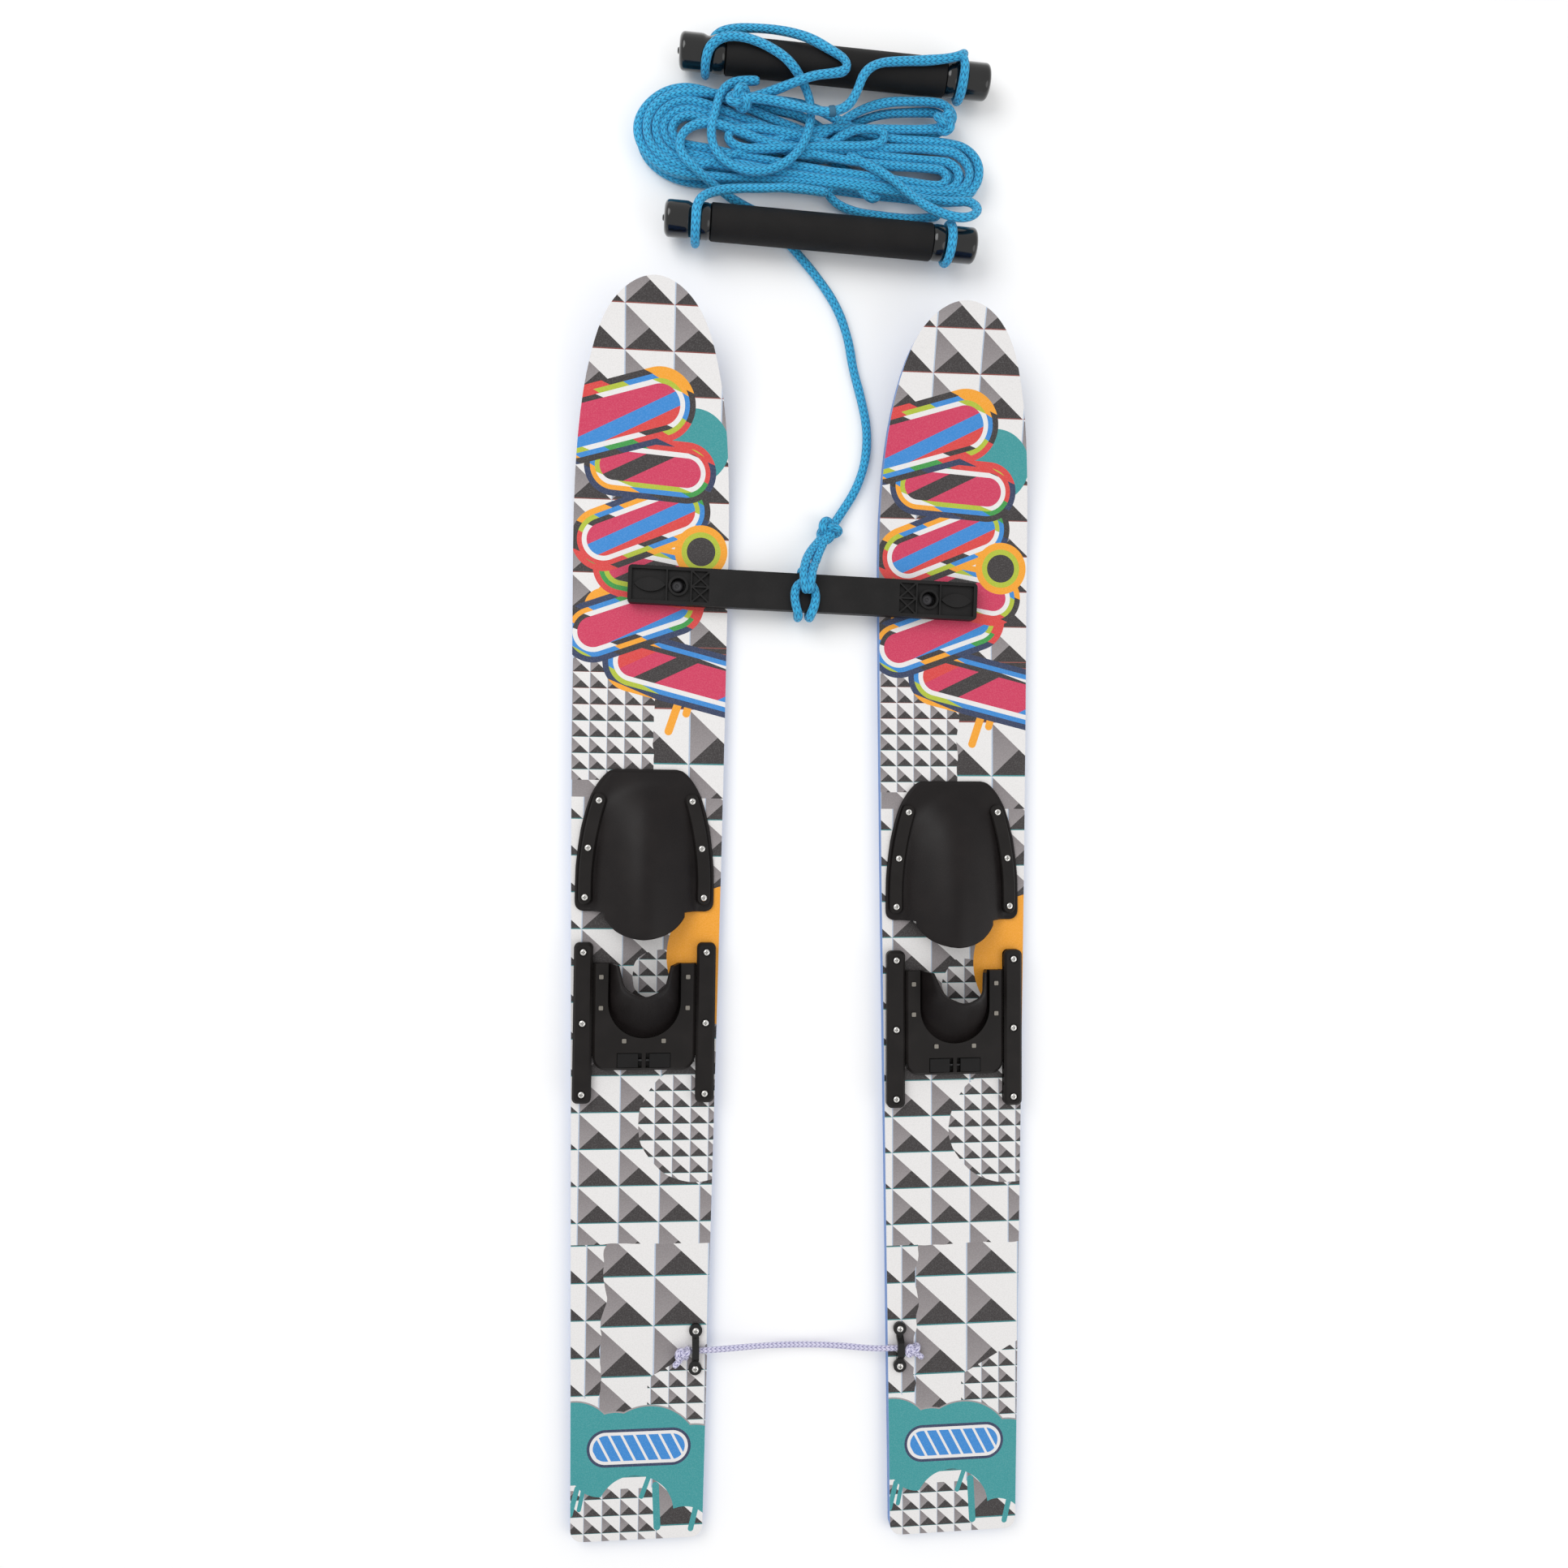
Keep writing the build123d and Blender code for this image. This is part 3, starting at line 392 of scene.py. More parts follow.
# a loose turn's points stray sideways and by a share of that upward, but not into the floor
PLAY_LEAST, PLAY_SHARE, PLAY_UP = 0.35, 0.025, 0.6
HANK_LOWEST = 4.75


def in_metres(place):
    return tuple(c * MM for c in place)


def round_end(centre, halves, angles):
    """Points of an ellipse at these angles."""
    turns = [math.radians(angle) for angle in angles]
    return [(centre[0] + halves[0] * math.cos(a), centre[1] + halves[1] * math.sin(a)) for a in turns]


def hank_turn(left_halves, right_end, waist):
    """One turn in plan: round the right end, back along the lower run and round the left end."""
    left_y = HANK_LEFT[1]
    cx, cy, sx, sy = right_end
    top, bottom = waist
    bend = sy + LOBE_SHARE * (sx - sy)
    turn = [(UPPER_RIGHT_X, top + 0.5 * (cy + sy - top))]
    turn += round_end((cx + sx - bend, cy), (bend, sy), RIGHT_ARC)
    turn += [
        (LOWER_RIGHT_X, bottom + 0.45 * (cy - sy - bottom)),
        (MIDDLE_X, bottom),
        (LEFT_X, bottom + 0.4 * (left_y - left_halves[1] - bottom)),
    ]
    turn += round_end(HANK_LEFT, left_halves, LEFT_ARC)
    return turn + [(LEFT_X, top + 0.4 * (left_y + left_halves[1] - top)), (MIDDLE_X, top)]


def hank_route():
    """The wound middle of the rope: long turns that pass close together at the waist."""
    chance = random.Random(7)
    route = list(HANK_START)
    for number, (layer, left_halves, right_end, waist, rise) in enumerate(HANK_TURNS):
        z = HANK_LAYERS[layer] + rise
        play = PLAY_LEAST + PLAY_SHARE * right_end[3]
        for x, y in hank_turn(left_halves, right_end, waist):
            shift = [chance.uniform(-play, play) for _ in range(3)]
            route.append((x + shift[0], y + shift[1], max(HANK_LOWEST, z + PLAY_UP * shift[2])))
        if number == 0:
            route += HANK_FOLD
    return route + HANK_END


def smooth_path(route, spacing):
    """Points in metres along the NURBS spline whose control points are route, this far apart."""
    data = bpy.data.curves.new("route", "CURVE")
    data.dimensions = "3D"
    spline = data.splines.new("NURBS")
    spline.points.add(len(route) - 1)
    for point, place in zip(spline.points, route):
        point.co = (*in_metres(place), 1)
    spline.order_u = 3
    spline.use_endpoint_u = True
    spline.resolution_u = 12
    holder = bpy.data.objects.new("route", data)
    mesh = bpy.data.meshes.new_from_object(holder)
    line = [v.co.copy() for v in mesh.vertices]
    bpy.data.objects.remove(holder)
    bpy.data.curves.remove(data)
    bpy.data.meshes.remove(mesh)
    return even(line, spacing)


def even(line, spacing):
    """The same line with points this far apart."""
    travelled = [0.0]
    for a, b in zip(line, line[1:]):
        travelled.append(travelled[-1] + (b - a).length)
    count = max(2, round(travelled[-1] / spacing))
    points, k = [], 0
    for i in range(count + 1):
        goal = travelled[-1] * i / count
        while k < len(line) - 2 and travelled[k + 1] < goal:
            k += 1
        span = travelled[k + 1] - travelled[k]
        points.append(line[k].lerp(line[k + 1], (goal - travelled[k]) / span if span else 0))
    return points


def length_of(points):
    return sum((b - a).length for a, b in zip(points, points[1:]))


def tube(name, points, radius, material, sides=14, closed=False, soft=0.06):
    """A round cord along points, a little flattened here and there; its UV map runs round it and along it."""
    count = len(points)
    tangents = []
    for i in range(count):
        before = (i - 1) % count if closed else max(i - 1, 0)
        after = (i + 1) % count if closed else min(i + 1, count - 1)
        tangents.append((points[after] - points[before]).normalized())
    across = tangents[0].orthogonal().normalized()
    mesh = bmesh.new()
    layer = mesh.loops.layers.uv.new("UVMap")
    rings, travelled = [], [0.0]
    for i in range(count):
        if i:
            across = (across - tangents[i] * across.dot(tangents[i])).normalized()
            travelled.append(travelled[-1] + (points[i] - points[i - 1]).length)
        up = tangents[i].cross(across)
        wave = travelled[-1] / radius
        wide = radius * (1 + soft * math.sin(wave * 0.31) + 0.4 * soft * math.sin(wave * 0.83 + 1))
        high = radius * (1 - soft * math.sin(wave * 0.31) + 0.4 * soft * math.sin(wave * 0.57 + 2))
        end = min(i, count - 1 - i)
        pinch = 1.0 if closed or end > 1 else (0.62, 0.93)[end]
        ring = []
        for k in range(sides):
            angle = 2 * math.pi * k / sides + 0.2 * math.sin(wave * 0.11)
            offset = across * (math.cos(angle) * wide) + up * (math.sin(angle) * high)
            ring.append(mesh.verts.new(points[i] + offset * pinch))
        rings.append(ring)
    spans = list(zip(range(count - 1), range(1, count)))
    if closed:
        spans.append((count - 1, 0))
        travelled.append(travelled[-1] + (points[0] - points[-1]).length)
    for i, j in spans:
        for k in range(sides):
            m = (k + 1) % sides
            face = mesh.faces.new((rings[i][k], rings[i][m], rings[j][m], rings[j][k]))
            face.smooth = True
            v0, v1 = travelled[i], travelled[i + 1]
            corners = ((k / sides, v0), ((k + 1) / sides, v0), ((k + 1) / sides, v1), (k / sides, v1))
            for loop, uv in zip(face.loops, corners):
                loop[layer].uv = uv
    if not closed:
        mesh.faces.new(list(reversed(rings[0])))
        mesh.faces.new(rings[-1])
    mesh.normal_update()
    return shown(name, mesh, material)


# half a knot's height as a share of its size
KNOT_RISE = 0.385


def knot(name, centre, size, cord_radius, material, turn):
    """A pulled overhand knot, which is a closed trefoil of the cord."""
    middle = Vector(in_metres(centre))
    about_x, about_y, about_z = (Matrix.Rotation(angle, 3, axis) for angle, axis in zip(turn, "XYZ"))
    knot_turn = about_z @ about_y @ about_x
    points = []
    steps = 72
    for i in range(steps):
        t = 2 * math.pi * i / steps
        across = (math.sin(t) + 2 * math.sin(2 * t)) / 3
        along = (math.cos(t) - 2 * math.cos(2 * t)) / 3
        trefoil = Vector((across, along, -math.sin(3 * t) * KNOT_RISE))
        points.append(middle + knot_turn @ (trefoil * size))
    return tube(name, points, cord_radius, material, sides=12, closed=True)


def braid(name, light, dark, pitch, columns, depth):
    """A braided cord: rows of small slanted stitches that meet in V shapes, with painted shade in the grooves
    between them, fuzz and a soft sheen.
    """
    surface = Surface(name, roughness=0.62, sheen=0.12, specular=0.22)
    around, along, _ = surface.axes("ShaderNodeUVMap", "UV")
    column = (around * columns).fraction()
    side = ((column - 0.5).size() * 2.0)
    stitch = (along / pitch + side * 0.62).fraction()
    crown = (stitch * math.pi).math("SINE").math("POWER", 0.55)
    ridge = (side * side * side).times_plus(-0.55, 1.0)
    height = crown * ridge
    fuzz = surface.noise(1.0, detail=4, stretch=(40, 5200, 1), uv=True)
    patch = surface.noise(38, detail=3)
    # painted shade: the dark colour shows in the grooves between the stitches, the light one on their crowns
    surface.colour(dark)
    surface.paint(light, height.ramp(0.20, 0.66) * fuzz.ramp(-0.45, 0.55))
    faded = tuple(min(1.0, c * 1.22 + 0.02) for c in light[:3]) + (1.0,)
    surface.paint(faded, patch.ramp(0.52, 0.9) * height * 0.5)
    surface.relief(height + fuzz * 0.25, depth)
    return surface.done()


def free_cord(piece, points, start, body):
    if isinstance(body, str):
        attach(piece, body)
    else:
        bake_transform(piece)
    start = tuple(round(c, 6) for c in in_metres(start))
    length_of(points)


# the distance between the points of the tow rope's paths
TOW_STEP = 0.0024
# the tow rope's knots: centre, size and turn, all tied in a thinner cord
BAR_KNOT = ((24.5, 250.5, 10.5), 0.0098, (0.35, 0.25, -0.55))
LEFT_KNOT = ((-63, 648.5, 37.5), 0.0095, (0.2, -0.2, 0.6))
RIGHT_KNOT = ((135, 642.5, 28.5), 0.0090, (0.1, 0.3, 0.2))
KNOT_CORD_R = 0.0040


def tow_piece(name, route, material):
    points = smooth_path(route, TOW_STEP)
    piece = tube(name, points, TOW_D / 2, material)
    return piece, points


def tow_knot(name, placed, body, material):
    centre, size, turn = placed
    piece = knot(name, centre, size, KNOT_CORD_R, material, turn)
    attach(piece, body)
    return piece


def make_tow_rope():
    # the darker blue is painted shade for the braid's grooves
    blue = braid("rope_blue", hex_colour("#3bafdf"), hex_colour("#115f93"), 0.0054, 7, 0.0009)
    hitch_knot = tow_knot("tow_knot_wrap", BAR_KNOT, "crossbar", blue)
    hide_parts("tow_knot")

    strand = tow_piece("tow_strand_right", STRAND_RIGHT, blue)[0]
    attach(strand, "crossbar")
    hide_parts("tow_hitch")
    lead, path = tow_piece("tow_lead_rope", LEAD_ROUTE, blue)
    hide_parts("tow_lead")
    free_cord(lead, path, LEAD_ROUTE[0],
              ("crossbar", "left_ski", (0.040, 0.272, 0.005), (0.062, 0.350, 0.005)))

    for name, route in (("tow_strand_left", STRAND_LEFT), ("tow_bar_loop", BAR_LOOP)):
        piece, path = tow_piece(name, route, blue)
        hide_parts("tow_hitch")
        free_cord(piece, path, route[0], "crossbar")

    hank, path = tow_piece("tow_hank", hank_route(), blue)
    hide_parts("rope_hank")
    free_cord(hank, path, HANK_START[0], "left_ski")

    left_knot = tow_knot("bridle_knot_left", LEFT_KNOT, "left_ski", blue)
    tow_knot("bridle_knot_right", RIGHT_KNOT, "left_ski", blue)
    strands = (
        ("bridle_upper_left", UPPER_LEFT_ROUTE, "upper_rope_left", [left_knot]),
        ("bridle_upper_right", UPPER_RIGHT_ROUTE + NECK_CLOSING, "upper_rope_right", [make_sleeve()]),
        ("bridle_lower_right", LOWER_RIGHT_ROUTE, "lower_rope_right", []),
        ("bridle_lower_left", LOWER_LEFT_ROUTE, "lower_rope_left", []),
    )
    for name, route, node, knots in strands:
        piece, path = tow_piece(name, route, blue)
        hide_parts(node)
        free_cord(piece, path, route[0], "left_ski")
    make_neck_loop(blue)


SLEEVE_CENTRE = (23.5, 637.5, 41.5)
SLEEVE_REACH, SLEEVE_R, SLEEVE_STEP = 0.0042, 0.0051, 0.0008


def make_sleeve():
    """The short dark sleeve crimped round the bridle's upper right strand."""
    dark = moulded("sleeve_plastic", "#34607a", "#4b7893", 900, 0.00006, 0.5)
    centre = Vector(in_metres(SLEEVE_CENTRE))
    covered = [p for p in smooth_path(UPPER_RIGHT_ROUTE, SLEEVE_STEP) if (p - centre).length < SLEEVE_REACH]
    sleeve = tube("bridle_sleeve", covered, SLEEVE_R, dark, sides=20, soft=0.0)
    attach(sleeve, "left_ski")
    return sleeve


# the neck loop's distance from the handle's middle, its radius and how far it leans along the handle
LOOP_X, LOOP_R, LOOP_LEAN = 0.1218, 0.0175, 0.0012
LOOP_STEPS = 48


def make_neck_loop(material):
    """The loop of rope round the lower handle's right neck."""
    *place, turn = HANDLES["lower"]
    middle = Vector(in_metres(place))
    spin = Matrix.Rotation(math.radians(turn), 3, "Z")
    points = []
    for i in range(LOOP_STEPS):
        angle = 2 * math.pi * i / LOOP_STEPS
        y, z = LOOP_R * math.cos(angle), LOOP_R * math.sin(angle)
        points.append(middle + spin @ Vector((LOOP_X + LOOP_LEAN * math.sin(angle), y, z)))
    loop = tube("neck_loop", points, TOW_D / 2, material, closed=True)
    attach(loop, "left_ski")


# the rear cord's knots behind the clips: centre, and the end of the short tail
REAR_ENDS = {
    "left": ((-114.5, -529.5, 16.5), (-123.5, -541.5, 15.2)),
    "right": ((104.7, -536, 16.5), (115, -544, 15.2)),
}
REAR_KNOT_SIZE, REAR_KNOT_R, REAR_KNOT_TURN = 0.0064, 0.0027, (0.9, 0.2, 0.3)
REAR_STEP, REAR_TAIL_STEP = 0.0015, 0.001


def make_rear_cord():
    # the darker lilac is painted shade for the braid's grooves
    lilac = braid("cord_lilac", hex_colour("#dcd9f0"), hex_colour("#6f6ca0"), 0.0042, 5, 0.0007)
    ends = []
    for side, (centre, tail) in REAR_ENDS.items():
        lump = knot(f"rear_knot_{side}_wrap", centre, REAR_KNOT_SIZE, REAR_KNOT_R, lilac, REAR_KNOT_TURN)
        middle = Vector(centre).lerp(Vector(tail), 0.5) + Vector((1, -1, 1))
        tail_path = smooth_path([centre, middle, tail], REAR_TAIL_STEP)
        bare = tube(f"rear_tail_{side}", tail_path, REAR_D / 2, lilac, sides=12)
        for piece in (lump, bare):
            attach(piece, f"{side}_ski")
        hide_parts(f"rear_knot_{side}")
        ends += [lump, bare]
    points = smooth_path(REAR_ROUTE, REAR_STEP)
    cord = tube("rear_cord_braid", points, REAR_D / 2, lilac, sides=12, soft=0.03)
    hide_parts("rear_cord")
    free_cord(cord, points, REAR_ROUTE[0],
              ("left_ski", "right_ski", (-0.090, -0.526, 0.015), (0.080, -0.532, 0.015)))


# ---------------- the printed top sheet

SKI_TAILS = {"left": ((-158.1, -703.0), -0.81), "right": ((145.3, -714.1), -0.08)}
WHITE, GREY, GREY_DARK, DARK = (hex_colour(c) for c in ("#e2e0df", "#9a9495", "#7d7778", "#3b3737"))
TEAL, BLUE, PINK, RED = (hex_colour(c) for c in ("#3d9497", "#3a86cc", "#c93c5d", "#d34543"))
ORANGE, LIME, GREEN, NAVY = (hex_colour(c) for c in ("#eda02f", "#adbb3a", "#3f9648", "#343f5c"))
PALE_BLUE, FOLD_RED, FOLD_TEAL = (hex_colour(c) for c in ("#b9c9de", "#8c4f48", "#3f8588"))
# where the printed zones change, in millimetres from the tail
REAR_END, LARGE_START, SMALL_END, FRONT_START, TIP_START = 277.0, 697.0, 827.0, 839.4, 1030.0
TAIL_TILES_END, FOLD_CHANGE = 48.0, 780.0
# tile grids: width, height and one corner, in millimetres from the middle of the tail
GRID_MID = (38.0, 34.5, -21.9, 400.2)
GRID_TIP = (45.3, 38.0, 17.9, 1147.0)
GRID_FRONT = (37.6, 34.3, -38.0, 839.4)
GRID_LARGE = (55.0, 52.3, 38.0, 728.6)
GRID_REAR = (50.5, 46.9, 12.8, 199.1)
GRID_REAR_SIDE = (38.0, 35.0, -50.8, 205.6)
GRID_SMALL_FRONT = (16.4, 15.3, -39.2, 799.2)
GRID_SMALL_MID = (16.9, 15.5, 27.8, 389.2)
GRID_SMALL_TAIL = (16.9, 15.8, -32.8, 23.0)
# capsules of the coloured art: centre, half length, radius, turn in degrees
CAPSULES = [
    ((38, 812), 55, 29, -14), ((-16, 866), 40, 29, 20), ((6, 908), 34, 27, -10), ((-10, 954), 38, 30, 22),
    ((-2, 1006), 34, 28, -4), ((-34, 1052), 42, 33, 16),
]
DROPS = [((34, 806), (18.7, 760), 3.8), ((43, 806), (35.2, 777), 3.6), ((-49, 880), (-59.5, 851), 3.2),
         ((-24, 862), (-33, 836), 3.6), ((-19, 862), (-23, 845), 2.6)]
TAIL_DROPS = [((-56, 50), (-62, 26), 2.4), ((-50, 50), (-54, 30), 2.0), ((12, 62), (4, 40), 2.2),
              ((17, 50), (19, 11), 3.2), ((58, 40), (50.6, 8), 2.6)]
# the striped pill on the cloud: centre, half length, radius, turn
PILL = ((1, 86), 31, 17.6, 0)
PILL_CORE = -5.6


class Print:
    """The top sheet's artwork, drawn on a Surface in millimetres of the ski's own frame."""

    def __init__(self, surface, side):
        (tail_x, tail_y), turn = SKI_TAILS[side]
        cos, sin = math.cos(math.radians(turn)), math.sin(math.radians(turn))
        x, y, _ = surface.axes("ShaderNodeTexCoord", "Object")
        across, along = x * 1000.0 - tail_x, y * 1000.0 - tail_y
        self.surface = surface
        self.x = across * cos + along * sin
        self.y = along * cos - across * sin
        wobble = surface.noise(26, detail=2)
        self.wavy = (wobble - 0.5) * 26.0
        self.u, self.v = self.grid(GRID_MID)

    def grid(self, sizes):
        width, height, corner_x, corner_y = sizes
        u = self.x.times_plus(1 / width, -corner_x / width)
        v = self.y.times_plus(-1 / height, corner_y / height)
        return u, v

    def zone(self, sizes, mask):
        u, v = self.grid(sizes)
        self.u, self.v = self.u.chosen(u, mask), self.v.chosen(v, mask)

    def disc(self, x, y, radius):
        """Distance to a disc's rim, negative inside."""
        return (self.x - x).hypot(self.y - y) - radius

    def bar(self, centre, half, radius, turn):
        """Distance to the rim of a bar with round ends."""
        cos, sin = math.cos(math.radians(turn)), math.sin(math.radians(turn))
        dx, dy = self.x - centre[0], self.y - centre[1]
        beyond = ((dx * cos + dy * sin).size() - half).most(0.0)
        return beyond.hypot(dy * cos - dx * sin) - radius

    def stroke(self, start, end, radius):
        middle = ((start[0] + end[0]) / 2, (start[1] + end[1]) / 2)
        reach = math.dist(start, end)
        turn = math.degrees(math.atan2(end[1] - start[1], end[0] - start[0]))
        return self.bar(middle, reach / 2, radius, turn)

    def between(self, low, high):
        return (self.y > low) * (self.y < high)

    def tiles(self):
        """Folded squares: white above the diagonal, grey at the left and dark at the bottom."""
        x, y, wavy = self.x, self.y, self.wavy
        self.zone(GRID_REAR, y < wavy * 0.25 + REAR_END)
        split = y.times_plus(0.035, -43.0) + wavy * 0.7
        self.zone(GRID_REAR_SIDE, (x < split) * self.between(134, REAR_END))
        self.zone(GRID_SMALL_TAIL, (y < TAIL_TILES_END) * (x < 19.0))
        self.zone(GRID_SMALL_MID, (x > 8.0) * (y < x * 0.55 + 146.0) * (y > 60.0))
        self.zone(GRID_SMALL_MID, (self.disc(52, 390, 56) < wavy * 0.2) * (y < 436.0))
        self.zone(GRID_SMALL_MID, (self.disc(12, 530, 24) < wavy * 0.6))
        self.zone(GRID_LARGE, y > LARGE_START)
        self.zone(GRID_SMALL_FRONT, (x < wavy * 0.5 + 5.0) * self.between(713, SMALL_END))
        self.zone(GRID_FRONT, y > FRONT_START)
        self.zone(GRID_TIP, y > TIP_START)
        surface, u, v = self.surface, self.u.fraction(), self.v.fraction()
        left = u < v
        low = (u + v) > 1.0
        shade = surface.node("ShaderNodeMix", data_type="RGBA")
        shade.inputs[6].default_value, shade.inputs[7].default_value = GREY_DARK, GREY
        surface.tree.links.new((v * 0.9).source, shade.inputs[0])
        surface.paint(shade.outputs[2], left)
        surface.paint(DARK, left * low)
        surface.paint(PALE_BLUE, (u < 0.025) * 0.8)
        surface.paint(FOLD_RED, (v > 0.975) * (y > FOLD_CHANGE) * low * left)
        surface.paint(FOLD_TEAL, (v > 0.975) * (y < FOLD_CHANGE) * low * left)

    def bands(self, turn, pitch, shift, colours):
        cos, sin = math.cos(math.radians(turn)), math.sin(math.radians(turn))
        field = (self.x * (cos / pitch) + self.y * (sin / pitch) + shift).fraction()
        return self.surface.bands(field, colours)

    def art(self):
        """Stacked round-ended bars, each with rings of colour that change where slanting bands cross it."""
        surface = self.surface
        surface.paint(TEAL, self.disc(38, 1028, 34) < 0.0)
        outer = self.bands(68, 150, 0.10, [NAVY, DARK, NAVY, RED, DARK, ORANGE])
        ring = self.bands(62, 118, 0.35, [RED, LIME, BLUE, ORANGE, BLUE, GREEN])
        inner = self.bands(70, 96, 0.05, [WHITE, DARK, WHITE, WHITE, LIME, WHITE])
        core = self.bands(116, 92, 0.30, [PINK, DARK, PINK, RED, BLUE, PINK, PINK])
        drip = self.disc(-18, 868, 40).least(self.disc(-44, 876, 18))
        surface.paint(ORANGE, drip < 0.0)
        for start, end, radius in DROPS:
            surface.paint(ORANGE, self.stroke(start, end, radius) < 0.0)
        for centre, half, radius, turn in CAPSULES:
            distance = self.bar(centre, half, radius, turn)
            for colour, inset in ((outer, 0.0), (ring, -5.5), (inner, -10.0), (core, -14.5)):
                surface.paint(colour, distance < inset)
        eye = self.disc(47, 931, 25)
        for colour, inset in ((ORANGE, 0.0), (LIME, -6.5), (DARK, -11.5)):
            surface.paint(colour, eye < inset)

    def tail_cloud(self):
        surface = self.surface
        surface.paint(ORANGE, self.disc(88, 548, 68) < 0.0)
        bumps = self.disc(-60, 92, 39)
        for cx, cy, radius in ((-22, 84, 36), (10, 76, 49), (52, 62, 44), (-34, 70, 29), (46, 50, 26)):
            bumps = bumps.least(self.disc(cx, cy, radius))
        bites = self.disc(-2, 24, 36).least(self.disc(-52, 12, 30)).least(self.disc(44, 2, 27))
        cloud = bumps.most((bites + self.wavy * 0.12) * -1.0)
        surface.paint(TEAL, cloud < 0.0)
        surface.paint(GREY, (cloud.size() < 0.7) * (self.y > 90.0))
        for start, end, radius in TAIL_DROPS:
            surface.paint(TEAL, self.stroke(start, end, radius) < 0.0)
        pill = self.bar(*PILL)
        for colour, inset in ((NAVY, 0.0), (WHITE, -2.6), (BLUE, PILL_CORE)):
            surface.paint(colour, pill < inset)
        slant = (self.x * 0.085 + self.y * 0.045).fraction() < 0.22
        surface.paint(WHITE, (pill < PILL_CORE) * slant)


def printed_sheet(side):
    surface = Surface(f"top_sheet_{side}", roughness=0.40, coat=0.04, specular=0.25)
    surface.colour(WHITE)
    artwork = Print(surface, side)
    artwork.tiles()
    artwork.art()
    artwork.tail_cloud()
    grain = surface.noise(900, detail=3)
    surface.paint((1, 1, 1, 1), (grain.ramp(0.45, 0.75)) * 0.05)
    surface.paint((0.02, 0.02, 0.025, 1), grain.ramp(0.55, 0.30) * 0.07)
    upward = surface.axes("ShaderNodeNewGeometry", "Normal")[2]
    surface.paint(hex_colour("#8fabd6"), upward < 0.5)
    scuffs = surface.noise(60, detail=6, stretch=(1, 0.15, 1))
    surface.rough(scuffs.times_plus(0.22, 0.28))
    surface.relief(grain, 0.00004, 0.6)
    return surface.done()


# ---------------- plastics, metals and rubber


def moulded(name, colour, worn, grain, depth, roughness, coat=0.0):
    """A moulded plastic or rubber: fine grain, with faint patches and specks of its worn colour."""
    surface = Surface(name, roughness=roughness, coat=coat, specular=0.2)
    surface.colour(hex_colour(colour))
    fine = surface.noise(grain, detail=3)
    patch = surface.noise(45, detail=4)
    surface.paint(hex_colour(worn), patch.ramp(0.42, 0.85) * 0.55)
    surface.paint(hex_colour(worn), fine.ramp(0.56, 0.8) * 0.35)
    surface.rough(patch.times_plus(0.22, roughness - 0.11) + fine * 0.06)
    surface.relief(fine, depth)
    return surface.done()


def bare_metal(name, colour, roughness, scratch):
    surface = Surface(name, roughness=roughness, metallic=1.0)
    surface.colour(hex_colour(colour))
    lines = surface.noise(scratch, detail=4, stretch=(1, 6, 1))
    surface.paint(hex_colour("#8d8a86"), lines.ramp(0.5, 0.8) * 0.5)
    # painted shade: the metal's narrow hollows darkened by ambient occlusion
    surface.shaded(0.0016, (0.03, 0.03, 0.03, 1))
    surface.rough(lines.times_plus(0.3, roughness - 0.12))
    surface.relief(lines, 0.00003, 0.7)
    return surface.done()


def side_plastic():
    surface = Surface("base_blue", roughness=0.35, specular=0.5)
    surface.colour(hex_colour("#4a78bb"))
    streak = surface.noise(30, detail=5, stretch=(6, 0.3, 6))
    surface.paint(hex_colour("#6f97cf"), streak.ramp(0.45, 0.8) * 0.6)
    surface.paint(hex_colour("#2f5796"), streak.ramp(0.5, 0.25) * 0.5)
    surface.rough(streak.times_plus(0.3, 0.22))
    surface.relief(streak, 0.00006, 0.6)
    return surface.done()


def make_materials():
    plastic = moulded("binding_plastic", "#171413", "#24201f", 1500, 0.00006, 0.40)
    return {
        "base": side_plastic(),
        "core": moulded("foam_core", "#d8cfae", "#c4b98f", 700, 0.0002, 0.8),
        "inserts": bare_metal("brass", "#b08d45", 0.3, 500),
        "toe_plate": plastic,
        "rail": plastic,
        "heel_plate": plastic,
        "tab": moulded("tab_plastic", "#121111", "#1d1b1b", 1900, 0.00008, 0.46),
        "tab_springs": bare_metal("spring_steel", "#343436", 0.45, 900),
        "screws": bare_metal("screw_steel", "#e4e2de", 0.2, 700),
        "heel_rivets": bare_metal("rivet_aluminium", "#8d8880", 0.4, 700),
        "bar_stud": moulded("stud_plastic", "#3a393b", "#4a494b", 900, 0.00005, 0.4),
        "cord_clip": moulded("clip_gloss", "#0e0d0d", "#171616", 1200, 0.00003, 0.2, coat=0.4),
        "crossbar": moulded("crossbar_plastic", "#181717", "#272525", 620, 0.00012, 0.5),
        "grip": moulded("grip_foam", "#131212", "#211f1f", 1300, 0.00018, 0.6),
        "core_tube": bare_metal("handle_tube", "#b9bcc0", 0.3, 400),
        "cap": moulded("cap_gloss", "#080808", "#0e0d0d", 300, 0.00002, 0.12, coat=0.8),
        "rubber": moulded("binding_rubber", "#151111", "#211c1b", 1100, 0.00009, 0.42),
    }


def surface_for(node, materials):
    """The material of a carried-over CAD node, by its name."""
    if "top_sheet" in node:
        return printed_sheet(node.split("_")[0])
    if node.endswith("screws"):
        return materials["screws"]
    if node.endswith("handle_core"):
        return materials["core_tube"]
    kinds = ("toe_plate", "rail", "heel_plate", "tab_springs", "tab", "heel_rivets", "bar_stud", "cord_clip",
             "crossbar", "grip", "base", "inserts", "core")
    return next((materials[kind] for kind in kinds if kind in node), materials["rubber"])


